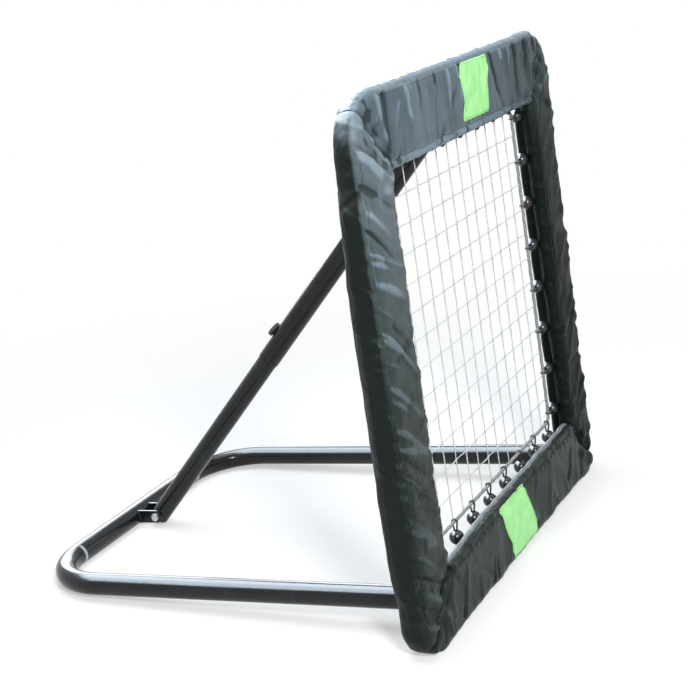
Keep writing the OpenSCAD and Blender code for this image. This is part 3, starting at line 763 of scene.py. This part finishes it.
def folds(a, b, seed, count, reach, widths, depths, slants):
    """Height in mm of folds that hang from the edge b = 0, with a along that edge.

    Each is a sharp ridge with a shallow valley beside it. It slants, widens with b and fades out over
    its own reach. Its ranges are the smallest and largest reach, width, depth and slant.
    """
    rng = np.random.default_rng(seed)
    low, high = a.min(), a.max()
    total = np.zeros_like(a)
    for i in range(count):
        at = low + (high - low) * (i + rng.uniform(0.1, 0.9)) / count
        w, d = rng.uniform(*widths), rng.uniform(*depths) * rng.choice([-1, 1], p=[0.4, 0.6])
        slant, r = rng.uniform(*slants), rng.uniform(*reach)
        bend = slant * b + 0.0015 * rng.uniform(-1, 1) * b ** 2
        x = (a - at - bend) / (w * (1 + b / r * 0.6))
        ridge = np.exp(0.45 - np.sqrt(0.2 + (1.5 * x) ** 2)) - 0.35 * np.exp(-((x - 1.3) / 0.8) ** 2)
        total += 1.2 * d * ridge * np.clip(1 - b / r, 0, 1) ** 0.8
    return total * smooth(b, -2, 4)


# Each cover's outer seam, as its distance in from the outer edge and its n, how strongly the seams gather,
# and its hanging folds' number, depths and slants.
COVERS = {
    TOP: ((12.0, -SET), 0.4, 19, (2.4, 5.8), (-0.25, 0.25)),
    BOTTOM: ((11.0, -SET - 2), 0.3, 16, (1.8, 4.6), (-0.4, 0.4)),
    LEFT: ((4.0, -SET + 3), 1.0, 28, (2.8, 5.8), (-1.0, -0.3)),
    RIGHT: ((4.0, -SET + 3), 0.35, 26, (1.4, 3.4), (-0.8, 0.3)),
}
MITRE_GAP, FLOOR_GAP = 0.05, 0.4    # from a cover to the mitre's plane and to the floor
HEM_SAG = 9                         # how far the bottom pad's upper hem sags on the left


def seams(side, seed, a, n, out_edge):
    """Height in mm of the outer seam and of the outer side's back edge, with the gathers beside both."""
    (seam_s, seam_n), gather = COVERS[side][:2]
    off = np.hypot(out_edge - seam_s, n - seam_n)
    uneven = 0.65 + 0.35 * drift(a, seed + 9, 80)
    pucker = np.sin(a * 2 * np.pi / 31 + 2.6 * drift(a, seed + 2, 130)) * uneven
    height = -2.6 * max(gather, 0.6) * bell(off, 2.4) + 1.5 * gather * pucker * bell(off - 8, 9)
    off = np.hypot(out_edge - 3.0, n - (SIDE_DEEP - SET - 4))
    puff = np.clip(drift(a, seed + 3, 38, 6) * 1.6, -1, 1)
    return height - 1.4 * bell(off, 2.2) + 1.1 * gather * puff * bell(off - 6, 10)


def hanging_folds(side, seed, a, n, out_edge, in_edge, front, outer, inner):
    """Height in mm of folds from the front's seam, long soft drags, folds from its inner edge, and folds
    across the outer side.
    """
    (seam_s, _), gather, many, deep, slant = COVERS[side]
    seam = folds(a, out_edge - seam_s, seed + 4, many, (45, 125), (3.4, 10), deep, slant)
    drag = folds(a, out_edge - 30, seed + 8, many // 2, (60, 100), (7, 14), (1.4, 3.4), (-1.6, 0.6))
    lip = folds(a, in_edge, seed + 5, many, (25, 70), (4, 8), (1.0, 2.6), (-0.7, 0.7))
    cross = folds(a, n + SET, seed + 6, 28, (25, 55), (3.5, 8), (1.2 * gather, 3.0 * gather), (-0.9, 0.9))
    return front * (seam + drag + lip) + inner * lip + outer * cross


def mitre_folds(seed, end, out_edge):
    """Height in mm at a mitre: the cover is drawn in along it and beside it, and folds fan out from there."""
    inwards = smooth(out_edge, 25, 60)
    beside = end - 14 - 3 * drift(out_edge, seed + 12, 40)
    fan = np.sin((out_edge + 0.5 * np.abs(end)) * 2 * np.pi / 27 + 1.6 * drift(out_edge, seed + 7, 50))
    drawn = bell(end, 4.0) * (1.0 + 2.2 * inwards)
    second = 2.8 * bell(beside, 3.4) * inwards * (1 - smooth(out_edge, 85, 112))
    return 1.7 * fan * bell(end - 20, 22) - drawn - second


def hem_seam(side, seed, a, in_edge):
    """Height in mm of the hem along the front lip's inner edge: a soft roll, its seam and small gathers."""
    hem = 13.0 if side in (TOP, BOTTOM) else 9.0
    gathers = 0.8 * np.sin(a * 2 * np.pi / 19 + 2 * drift(a, seed + 10, 70)) * bell(in_edge - hem - 5, 6)
    return 1.4 * bell(in_edge - hem * 0.45, hem * 0.4) - 2.8 * bell(in_edge - hem, 2.6) + gathers


def settle(side, p):
    """Holds a bar's points on its own side of the mitres and off the floor, and lets the bottom hem sag."""
    a, s, n = to_bar(side, *off_frame(p))
    limit = FRAME / 2 - MITRE_GAP - np.minimum(s + INSET, WIDE)
    a = np.sign(a) * np.minimum(np.abs(a), np.maximum(limit, 0))
    if side == BOTTOM:
        s = s - HEM_SAG * smooth(-a, 110, 300) * smooth(s, 30, 60)
    p = on_frame(*from_bar(side, a, s, n))
    p[:, 2] = np.maximum(p[:, 2], FLOOR_GAP * MM)
    return p


def finish_pad(obj, side, seed):
    """Creases the cover: each point moves along its normal by the sum of drift, seams, folds and hem."""
    p, nor = get_points(obj), get_points(obj, "normal")
    a, s, n = to_bar(side, *off_frame(p))
    _, s1, n1 = to_bar(side, *off_frame(p + nor * MM))
    front, outer, inner = (np.clip(x, 0, 1) ** 1.5 for x in (n - n1, s - s1, s1 - s))
    out_edge = s + INSET                                          # distance in from the outer edge
    in_edge = PAD_WIDE[side] - INSET - s                          # distance out from the inner edge
    end = FRAME / 2 - np.abs(a) - np.minimum(out_edge, WIDE)      # distance from the mitre, along the bar
    height = 1.1 * drift(a, seed, 150) * (0.4 + front) + 0.9 * drift(a + 1.7 * s, seed + 1, 60)
    height += seams(side, seed, a, n, out_edge) + hem_seam(side, seed, a, in_edge) * front
    fold = hanging_folds(side, seed, a, n, out_edge, in_edge, front, outer, inner)
    fold += mitre_folds(seed, end, out_edge) * front
    # The folds' height, which the nylon turns into painted highlights on the ridges and painted shade in the
    # valleys.
    set_values(obj, "fold", fold)
    # How far each point faces the sky, where the nylon paints a pale sky reflection.
    set_values(obj, "up", np.clip(nor[:, 2], 0, 1) ** 1.5)
    set_points(obj, settle(side, p + nor * ((height + fold) * MM)[:, None]))
    obj.data.polygons.foreach_set("use_smooth", np.ones(len(obj.data.polygons), bool))


def make_pad(side, seed, notches, material):
    """One padded bar: its shell with the notches cut, filled as cloth and then creased."""
    name = "pad_" + side
    voxel = 5 * MM
    obj = remesh(pad_shell(name + "_cover", side), voxel)
    for corners in notches:
        cut(obj, corners)
    remesh(obj, voxel)
    inflate(obj, cap=4.0, frames=20, pressure=4.0, slack=-0.02)
    subdivide(obj)
    finish_pad(obj, side, seed)
    keep(obj, material, "net_frame", "pad_cover", name)
    return obj


NOTCH = BASE_R + 5                  # half width of the room for a base tube
TOP_NOTCH = STRUT_R + 0.4 + 3 + 6   # the strut tube, a gap, a bracket ear and the room beside it


def base_notch(x, low, high):
    """Room behind the hinge for the base tube on side x of -1 or 1, from v of low to high."""
    return (x * SIDE_X - NOTCH, low, 0), (x * SIDE_X + NOTCH, high, 2 * DEEP)


STRUT_NOTCH = (-TOP_NOTCH, RISE - TOP_WIDE, LIP - SET + 0.5), (TOP_NOTCH, RISE + 21, 2 * DEEP)
PADS = {
    TOP: make_pad(TOP, 11, [STRUT_NOTCH], NYLON_TOP),
    BOTTOM: make_pad(BOTTOM, 23, [base_notch(x, -NOTCH, 2 * LOW_WIDE) for x in (-1, 1)], NYLON),
    LEFT: make_pad(LEFT, 37, [base_notch(-1, -NOTCH - 60, 2 * WIDE)], NYLON),
    RIGHT: make_pad(RIGHT, 51, [base_notch(1, -NOTCH - 60, 2 * WIDE)], NYLON_SHADED),
}


def snap(points, target, offset, axis=None):
    """Points in metres moved onto a cover, offset mm off it: to its nearest place, or along the Y axis."""
    shape = points.shape
    probe = mesh_object("probe", points, np.zeros((0, 4), int))
    m = probe.modifiers.new("snap", "SHRINKWRAP")
    m.target, m.offset = target, offset * MM
    if axis:
        m.wrap_method, m.use_project_y = "PROJECT", True
        m.use_negative_direction, m.use_positive_direction = True, True
        m.project_limit = 0.03
    else:
        m.wrap_method, m.wrap_mode = "NEAREST_SURFACEPOINT", "ABOVE_SURFACE"
    apply_modifiers(probe)
    moved = get_points(probe).reshape(shape)
    mesh = probe.data
    bpy.data.objects.remove(probe)
    bpy.data.meshes.remove(mesh)
    return moved


def make_binding():
    """The bottom pad's rolled hem: a soft cord sewn along the back of its front lip."""
    a = np.linspace(-1, 1, 241) * (FRAME / 2 - WIDE - 4)
    seat = on_frame(*from_bar(BOTTOM, a, LOW_WIDE - INSET + 5, -SET + 9))
    u, v, n = off_frame(snap(seat, PADS[BOTTOM], -2.6))
    v = v + 0.8 * drift(a, 71, 60)
    for _ in range(6):
        v[1:-1] = (v[:-2] + v[2:]) / 2
        n[1:-1] = (n[:-2] + n[2:]) / 2
    path = on_frame(u, v, n)[None]
    obj = make_tubes("hem_roll", path, (0, 1, 0), 5.2 * MM, 16, False, twist=90, lobes=2, lobe_depth=0.08)
    return keep(obj, BINDING, "net_frame", "pad_cover")


STITCH = 5.0                        # pitch of the stitches


def stitch_line(name, side, a0, a1, edge):
    """Thread dashes along a bar's front, edge mm in from its outer edge, each a short hump on the cover."""
    count = int((a1 - a0) / STITCH)
    a = a0 + (np.arange(count)[:, None] + np.linspace(0.10, 0.74, 5)[None]) * STITCH
    seat = on_frame(*from_bar(side, a, edge - INSET, -SET - 3))
    u, v, n = off_frame(snap(seat, PADS[side], 0.0))
    hump = 0.35 * np.sin(np.linspace(0, np.pi, 5))[None]
    obj = make_tubes(name, on_frame(u, v, n - (hump + 0.15)), N_AXIS, 0.45 * MM, 5, False)
    return keep(obj, THREAD, "net_frame", "pad_cover")


def ease(n, passes, weight):
    """Softens a grid of depths: each becomes the mean of its four neighbours and weight times itself."""
    for _ in range(passes):
        around = n[:-2, 1:-1] + n[2:, 1:-1] + n[1:-1, :-2] + n[1:-1, 2:]
        n[1:-1, 1:-1] = (around + weight * n[1:-1, 1:-1]) / (4 + weight)


def make_sheet(name, side, points, thick, flat, material, slot, *replaced):
    """A cloth that is thick mm on a grid of points, laid on a pad; flat, its size in mm, is not used."""
    obj = mesh_object(name, points, grid_faces(*points.shape[:2]))
    m = obj.modifiers.new("thickness", "SOLIDIFY")
    m.thickness, m.offset = thick * MM, 0
    face_outwards(apply_modifiers(obj))
    keep(obj, material, "net_frame", slot, *replaced)
    flat[0] * MM
    flat[1] * MM
    "pad_" + side + "_cover"
    return obj


FLAP_LOW, FLAP_HIGH = -38.0, -4.0   # edges of a closure flap, inwards from the tube's centre


def make_flap(name, side, a0, a1):
    """Closure flap on a pad's back: a strip of cover cloth with a turned edge, pressed onto the hook tape."""
    a = np.linspace(a0, a1, int((a1 - a0) / 4) + 1)[:, None]
    s = np.linspace(FLAP_LOW, FLAP_HIGH, 13)[None]
    a, s = np.broadcast_arrays(a, s)
    seat = on_frame(*from_bar(side, a, s + 0.8 * drift(a, 83, 90), DEEP - SET + 12))
    u, v, n = off_frame(snap(seat, PADS[side], 0.0, "Y"))
    ease(n, 3, 0)
    rim = np.minimum(np.minimum(s - FLAP_LOW, FLAP_HIGH - s), np.minimum(a - a0, a1 - a))
    turned = 0.6 * bell(rim - 2.5, 2.0) - 1.0 * bell(rim - 6.0, 1.4) - 1.2 * (rim < 0.4)
    lift = 1.3 + turned + 0.5 * drift(a, 91, 45)
    return make_sheet(name, side, on_frame(u, v, n + lift), 1.0, (a1 - a0, FLAP_HIGH - FLAP_LOW),
                      FLAP_CLOTH, "pad_cover")


make_binding()
for stitches in (
        ("stitches_top_hem", TOP, -300, 300, TOP_WIDE - 16),
        ("stitches_top_seam", TOP, -330, 330, 17),
        ("stitches_left_seam", LEFT, -355, 325, 9),
        ("stitches_right_seam", RIGHT, -355, 325, 9),
        ("stitches_left_hem", LEFT, -305, 295, WIDE - 12),
        ("stitches_right_hem", RIGHT, -305, 295, WIDE - 12),
        ("stitches_bottom_hem", BOTTOM, -300, 300, LOW_WIDE - 16)):
    stitch_line(*stitches)
for flap in (
        ("flap_top_left", TOP, -300, -46),
        ("flap_top_right", TOP, 46, 300),
        ("flap_bottom", BOTTOM, -276, 276),
        ("flap_left", LEFT, -285, 290),
        ("flap_right", RIGHT, -285, 290)):
    make_flap(*flap)


# ---- patches ----

PATCH_R = 5.0                       # corner radius of a patch
BORDER = 3.0                        # stitched border in from its edge


def make_patch(name, node, side, u, v, wide, high, skew):
    """A sewn badge: a thin sheet that follows the pad's front, its corners rounded and its edges drawn in.

    skew is how far its upper edge is dragged along the bar against its lower edge, in mm.
    """
    def place(x, y, target):
        """The badge's own x and y moved along Y onto a cover, as u, v and n of the frame's plane."""
        return off_frame(snap(on_frame(u + x + skew * y / high, v + y, -SET - 14), target, 0.0, "Y"))

    x = np.linspace(-1, 1, 61)[:, None] * wide / 2
    y = np.linspace(-1, 1, 47)[None, :] * high / 2
    x, y = np.broadcast_arrays(x, y)
    dx, dy = np.abs(x) - (wide / 2 - PATCH_R), np.abs(y) - (high / 2 - PATCH_R)
    corner = (dx > 0) & (dy > 0)
    k = np.where(corner, np.maximum(dx, dy) / np.maximum(np.hypot(dx, dy), 1e-9), 1)
    px = np.where(corner, np.sign(x) * (wide / 2 - PATCH_R + dx * k), x)
    py = np.where(corner, np.sign(y) * (high / 2 - PATCH_R + dy * k), y)
    rim = np.minimum(wide / 2 - np.abs(x), high / 2 - np.abs(y))
    lift = 1.5 + 0.4 * drift(px + 2 * py, 5, 70) - 0.8 * bell(rim - 3.0, 1.6) - 0.9 * (rim < 0.5)
    a, b, n = place(px, py, PADS[side])
    ease(n, 4, 2)
    obj = make_sheet(name, side, on_frame(a, b, n - lift), 0.8, (wide, high), PATCH, "patch_cloth", node)

    # border stitching: short raised dashes
    right, top = wide / 2 - BORDER, high / 2 - BORDER
    corners = [(-right, -top, PATCH_R), (right, -top, PATCH_R), (right, top, PATCH_R), (-right, top, PATCH_R)]
    edge = resample(rounded(corners), 92, True)
    t = np.linspace(0.12, 0.78, 5)[None, :, None]
    dash = edge[:, None] * (1 - t) + np.roll(edge, -1, 0)[:, None] * t
    hump = 0.25 * np.sin(np.linspace(0, np.pi, 5))[None]
    a, b, n = place(dash[..., 0], dash[..., 1], obj)
    stitch = make_tubes(name + "_stitches", on_frame(a, b, n - 0.1 - hump), N_AXIS, 0.42 * MM, 6, False)
    return keep(stitch, THREAD_GREEN, "net_frame", "patch_cloth")


make_patch("badge_top", "patch_top", TOP, u=42.0, v=RISE - 3.0, wide=114.0, high=90.0, skew=18.0)
make_patch("badge_bottom", "patch_bottom", BOTTOM, u=-18.0, v=5.0, wide=120.0, high=104.0, skew=-42.0)


# ---- net, rope, loops ----

CELLS = round(2 * ROPE_HALF / NET_PITCH)
KNOT_R, KNOT_FLAT = 2.3, 1.9        # a knot's radius in the net's plane and its half thickness


def knots(at, rng):
    """Points, faces and UVs of a knot at each crossing, each a flattened ball turned at random.

    Its radius is KNOT_R * (1 + 0.16 cos(2 longitude + 3 latitude)).
    """
    ring, band = 8, 5
    lat = np.linspace(-1, 1, band) * math.pi / 2 * 0.96
    lon = np.arange(ring) * 2 * math.pi / ring
    lat, lon = np.meshgrid(lat, lon, indexing="ij")
    r = KNOT_R * (1 + 0.16 * np.cos(2 * lon + 3 * lat))
    ku, kv, kn = r * np.cos(lat) * np.cos(lon), r * np.cos(lat) * np.sin(lon), KNOT_FLAT * np.sin(lat)
    cu, cv = np.meshgrid(at, at, indexing="ij")
    turn = rng.uniform(0, 3.14, cu.shape)[..., None, None]
    u = cu[..., None, None] + ku * np.cos(turn) - kv * np.sin(turn)
    v = RISE / 2 + cv[..., None, None] + ku * np.sin(turn) + kv * np.cos(turn)
    uv = np.stack(np.broadcast_arrays(lon / (2 * math.pi), lat * 0.003), -1).reshape(-1, 2)
    points = on_frame(u, v, NET_N + kn).reshape(-1, 3)
    return points, barrel_faces(cu.size, band, ring, False), np.tile(uv, (cu.size, 1))


def join(pieces):
    """One piece's points, faces and UVs from those of several."""
    points, faces, uv = zip(*pieces)
    starts = np.cumsum([0] + [len(some) for some in points])
    moved = [[int(k) + int(start) for k in face] for start, some in zip(starts, faces) for face in some]
    return np.concatenate(points), moved, np.concatenate(uv)


def make_net():
    """Knotted square mesh: round strands that bow slightly between knots and sway a little out of true."""
    at = (np.arange(1, CELLS) * 2 / CELLS - 1) * ROPE_HALF
    t = np.linspace(-1, 1, 6 * CELLS + 1) * (ROPE_HALF - ROPE_R)
    rng = np.random.default_rng(3)
    sway = rng.uniform(-1, 1, (2, len(at), 1)) * 0.8
    ripple = 0.5 * np.sin(t * CELLS * np.pi / ROPE_HALF)
    up = on_frame(at[:, None] + sway[0] + ripple * 0.6, RISE / 2 + t, NET_N + 0.5 * ripple)
    across = on_frame(t, RISE / 2 + at[:, None] + sway[1] - ripple * 0.6, NET_N - 0.5 * ripple)
    strands = tubes(np.concatenate([up, across]), N_AXIS, 0.95 * MM, 6, False, 500, 2, 0.15)
    obj = face_outwards(mesh_object("net_mesh", *join([strands, knots(at, rng)])))
    return keep(obj, NET, "net_frame", "net_cord", "net")


def make_rope():
    """Three-strand border rope round a square with rounded corners, one turn of its lay in about 24 mm."""
    corner = 16.0
    line = rounded([(-ROPE_HALF, -ROPE_HALF, corner), (ROPE_HALF, -ROPE_HALF, corner),
                    (ROPE_HALF, ROPE_HALF, corner), (-ROPE_HALF, ROPE_HALF, corner)], 9)
    line = resample(line, 760, True)
    path = on_frame(line[:, 0], RISE / 2 + line[:, 1], NET_N)[None]
    total = 8 * ROPE_HALF * MM
    turns = round(total / 0.024)
    obj = make_tubes("border_rope", path, N_AXIS, (ROPE_R - 0.15) * MM, 14, True,
                     twist=2 * math.pi * turns / total / 3, lobes=3, lobe_depth=0.10)
    return keep(obj, ROPE, "net_frame", "border_rope", "net_border_rope")


def loop_line():
    """Centre line of an elastic loop as n and s, in mm: an arc round the tube and a smaller one round the
    rope, joined by straight runs that meet in front of the ball and part behind it.
    """
    big, small = TUBE_R + CORD_GAP + CORD_R, ROPE_R + CORD_GAP + CORD_R
    half = 2.0                      # the runs' distance from the ball's axis
    ball = BALL_IN - INSET
    meet, part, eye = ball - BALL_R - 1, ball + BALL_R + 1, ROPE_IN - INSET
    ft, bt = np.array([NET_N - half, meet]), np.array([NET_N + half, meet])
    fl = math.atan2(ft[0], ft[1]) + math.asin(big / np.linalg.norm(ft))
    bl = math.atan2(bt[0], bt[1]) - math.asin(big / np.linalg.norm(bt))
    el = math.asin(small / math.hypot(half, eye - part)) - math.atan2(half, eye - part)
    arc = np.linspace(math.pi - fl, 2 * math.pi - bl, 40)
    tube_arc = big * np.stack([np.cos(arc), np.sin(arc)], -1)
    arc = np.linspace(-el, math.pi + el, 18)
    rope_arc = np.array([NET_N, eye]) + small * np.stack([np.cos(arc), np.sin(arc)], -1)
    line = np.vstack([tube_arc, bt, [NET_N + half, part], rope_arc, [NET_N - half, part], ft])
    line = resample(line, 132, True)
    for _ in range(3):
        line = (np.roll(line, 1, 0) + 2 * line + np.roll(line, -1, 0)) / 4
    return line


def make_loops():
    """Elastic cord loops, one at each ball, each in the plane square to its tube."""
    line = loop_line()
    at = np.linspace(-1, 1, LOOPS) * OUTER_LOOP
    pieces = []
    for axis, sides in (((1, 0, 0), (BOTTOM, TOP)), ((0, math.sin(LEAN), math.cos(LEAN)), (LEFT, RIGHT))):
        paths = np.stack([on_frame(*from_bar(side, a, line[:, 1], line[:, 0])) for side in sides for a in at])
        pieces.append(tubes(paths, axis, CORD_R * MM, 8, True))
    obj = face_outwards(mesh_object("elastic_loops", *join(pieces)))
    return keep(obj, ELASTIC, "net_frame", "elastic_cord", "bungee_loops")


make_net()
make_rope()
make_loops()


# ---- welds ----

SLEEVE_R = 18.4                     # hinge sleeves
FOOT_EAR, TOP_EAR = 21.6, 23.1      # outer faces of the brackets' ears from the middle
EAR_AT = math.atan2(17.5, 33.0)     # direction of the top bracket's ears from the tube's centre
BOSS_R, BOSS_UP = 8.5, 55.0         # lock boss, and its place above the outer tube's lower end


def make_bead(name, path, axis, radius, body, closed):
    """A weld bead: a round run along path, with a ripple in each 1.9 mm and four points in each ripple."""
    length = np.linalg.norm(np.diff(path, axis=0), axis=1).sum()
    path = resample(path, 4 * max(6, int(length / 0.0019)), closed)
    phase = np.arange(len(path)) * np.pi / 2
    path = path + 0.12 * MM * np.sin(phase)[:, None] * np.asarray(axis, float)
    obj = make_tubes(name, path[None], axis, radius * MM, 8, closed)
    return keep(obj, WELD, body, "black_powder_coat")


def make_beads():
    """Beads where the sleeves meet the side tubes, at the ears of both brackets and round the lock boss."""
    t = np.linspace(0, 2 * np.pi, 161)[:-1]
    for name, x in (("weld_hinge_left", -SIDE_X), ("weld_hinge_right", SIDE_X)):
        up = (BASE_R + 0.2) * np.sin(t)
        along = np.sqrt(np.maximum(SLEEVE_R ** 2 - up ** 2, 0)) + 0.8
        make_bead(name, on_base(x + (BASE_R + 0.2) * np.cos(t), along, up), (0, 1, 0), 1.5, "base", True)
    arc = np.linspace(-0.62, 0.62, 60)
    r = BASE_R + 0.5
    for name, x in (("weld_foot_left", -FOOT_EAR), ("weld_foot_right", FOOT_EAR)):
        place = on_base(x, BASE_LEN - r * np.cos(arc), r * np.sin(arc))
        make_bead(name, place, (1, 0, 0), 1.3, "base", False)
    arc = np.linspace(-0.85, 0.85, 60) + EAR_AT
    r = TUBE_R + 0.4
    for name, x in (("weld_top_left", -TOP_EAR), ("weld_top_right", TOP_EAR)):
        place = on_frame(*from_bar(TOP, x, r * np.cos(arc), r * np.sin(arc)))
        make_bead(name, place, (1, 0, 0), 1.2, "net_frame", False)
    x = BOSS_R * np.cos(t)
    ring = on_strut(x, np.sqrt(STRUT_R ** 2 - x ** 2) + 0.2, STRUT_SHOW + BOSS_UP + BOSS_R * np.sin(t))
    make_bead("weld_boss", ring, (0, math.cos(TURN), math.sin(TURN)), 0.9, "strut_upper", True)


make_beads()


# ---- stage ----

def area(name, place, aim, wide, high, power, colour, card=False, shine=1.0):
    """A soft rectangular lamp. A card is only seen as a reflection, and lights nothing by itself."""
    lamp = bpy.data.lights.new(name, "AREA")
    lamp.shape, lamp.size, lamp.size_y, lamp.energy, lamp.color = "RECTANGLE", wide, high, power, colour
    lamp.specular_factor = shine
    obj = bpy.data.objects.new(name, lamp)
    obj.location = place
    obj.rotation_euler = (Vector(aim) - Vector(place)).to_track_quat("-Z", "Y").to_euler()
    bpy.context.scene.collection.objects.link(obj)
    obj.visible_camera = False
    if card:
        obj.visible_diffuse = obj.visible_transmission = False
    return obj


def make_floor():
    """Pale floor that takes the object's shadow; further out, up to 2 m, it turns plain white to the eye."""
    side = 40.0
    floor = mesh_object("floor", [(-side, -side, 0), (side, -side, 0), (side, side, 0), (-side, side, 0)],
                        np.array([[0, 1, 2, 3]]), smooth=False)
    f = Finish("pale_floor", Specular_IOR_Level=0.1)
    tone = f.noise(0.6, 2, 0.5)
    f.feed(Base_Color=f.blend(tone, (0.88, 0.88, 0.88), (0.91, 0.91, 0.91)), Roughness=0.85 + tone * 0.1)
    x, y, _ = f.parts(f.coordinates())
    far = (x * x + y * y).root().step(0.7, 2.0)
    glow = f.node("ShaderNodeEmission", {}, {0: (1, 1, 1, 1), 1: 1.0})
    lit = Shade(f, f.shader.outputs[0])
    mix = f.node("ShaderNodeMixShader", {}, {0: f.sharp_rays() * (far * 0.55 + 0.45), 1: lit, 2: glow})
    f.tree.links.new(mix.socket, f.tree.nodes["Material Output"].inputs[0])
    floor.data.materials.append(f.material)


def make_surroundings():
    """A white world for the camera and for sharp reflections, and a soft pale blue light for the rest."""
    world = bpy.data.worlds.new("surroundings")
    bpy.context.scene.world = world
    world.use_nodes = True
    world.node_tree.nodes.clear()
    sky = Tree(world.node_tree)
    light = sky.node("ShaderNodeBackground", {}, {0: (0.86, 0.93, 1.0, 1), 1: 0.21})
    white = sky.node("ShaderNodeBackground", {}, {0: (1, 1, 1, 1), 1: 1.0})
    mix = sky.node("ShaderNodeMixShader", {}, {0: sky.sharp_rays(), 1: light, 2: white})
    out = world.node_tree.nodes.new("ShaderNodeOutputWorld")
    world.node_tree.links.new(mix.socket, out.inputs[0])


def make_lamps():
    """A soft sky above, a softbox and a fill in front, and three cards for the reflections."""
    area("sky_panel", (0.3, 0.2, 3.0), (0, -0.1, 0.3), 2.6, 2.6, 75, (0.93, 0.97, 1.0))
    area("front_softbox", (-2.35, -2.2, 2.1), (0, -0.4, 0.45), 0.6, 0.6, 118, (1.0, 0.99, 0.97), shine=0.6)
    area("front_fill", (0.9, -2.9, 2.0), (0, -0.4, 0.5), 1.2, 1.2, 12, (0.95, 0.98, 1.0), shine=0.6)
    area("overhead_card", (-0.3, 1.5, 3.0), (-0.1, 0, 0), 4.2, 2.6, 820, (0.76, 0.87, 1.0), True)
    area("back_card", (2.9, 2.4, 1.7), (0, 0, 0.2), 3.0, 1.8, 170, (0.90, 0.95, 1.0), True)
    area("front_card", (2.3, -2.5, 0.95), (0, -0.4, 0.45), 2.2, 1.6, 10, (0.95, 0.98, 1.0), True)


AZIMUTH, ELEVATION, ROLL = (math.radians(x) for x in (-63.05, 15.36, -6.88))
EYE = (-2307.42, HINGE_Y - 906.50, 1072.31)
FOCAL_PX, PICTURE_PX = 1561.52, 688     # focal length and picture width in pixels
SENSOR = 36.0


def make_camera():
    """Camera from the front left, slightly above and rolled, at the calibrated place."""
    d = Vector((-math.sin(AZIMUTH) * math.cos(ELEVATION), math.cos(AZIMUTH) * math.cos(ELEVATION),
                -math.sin(ELEVATION)))
    right = d.cross(Vector((0, 0, 1))).normalized()
    up = right.cross(d)
    x = right * math.cos(ROLL) + up * math.sin(ROLL)
    y = -right * math.sin(ROLL) + up * math.cos(ROLL)
    lens = bpy.data.cameras.new("camera")
    lens.sensor_width, lens.lens = SENSOR, FOCAL_PX / PICTURE_PX * SENSOR
    lens.clip_start, lens.clip_end = 0.05, 200
    cam = bpy.data.objects.new("camera", lens)
    turn = Matrix((x, y, -d)).transposed().to_4x4()
    cam.matrix_world = Matrix.Translation(Vector(EYE) * MM) @ turn
    bpy.context.scene.collection.objects.link(cam)
    bpy.context.scene.camera = cam


make_floor()
make_surroundings()
make_lamps()
make_camera()
bpy.context.scene.view_settings.view_transform = "Standard"
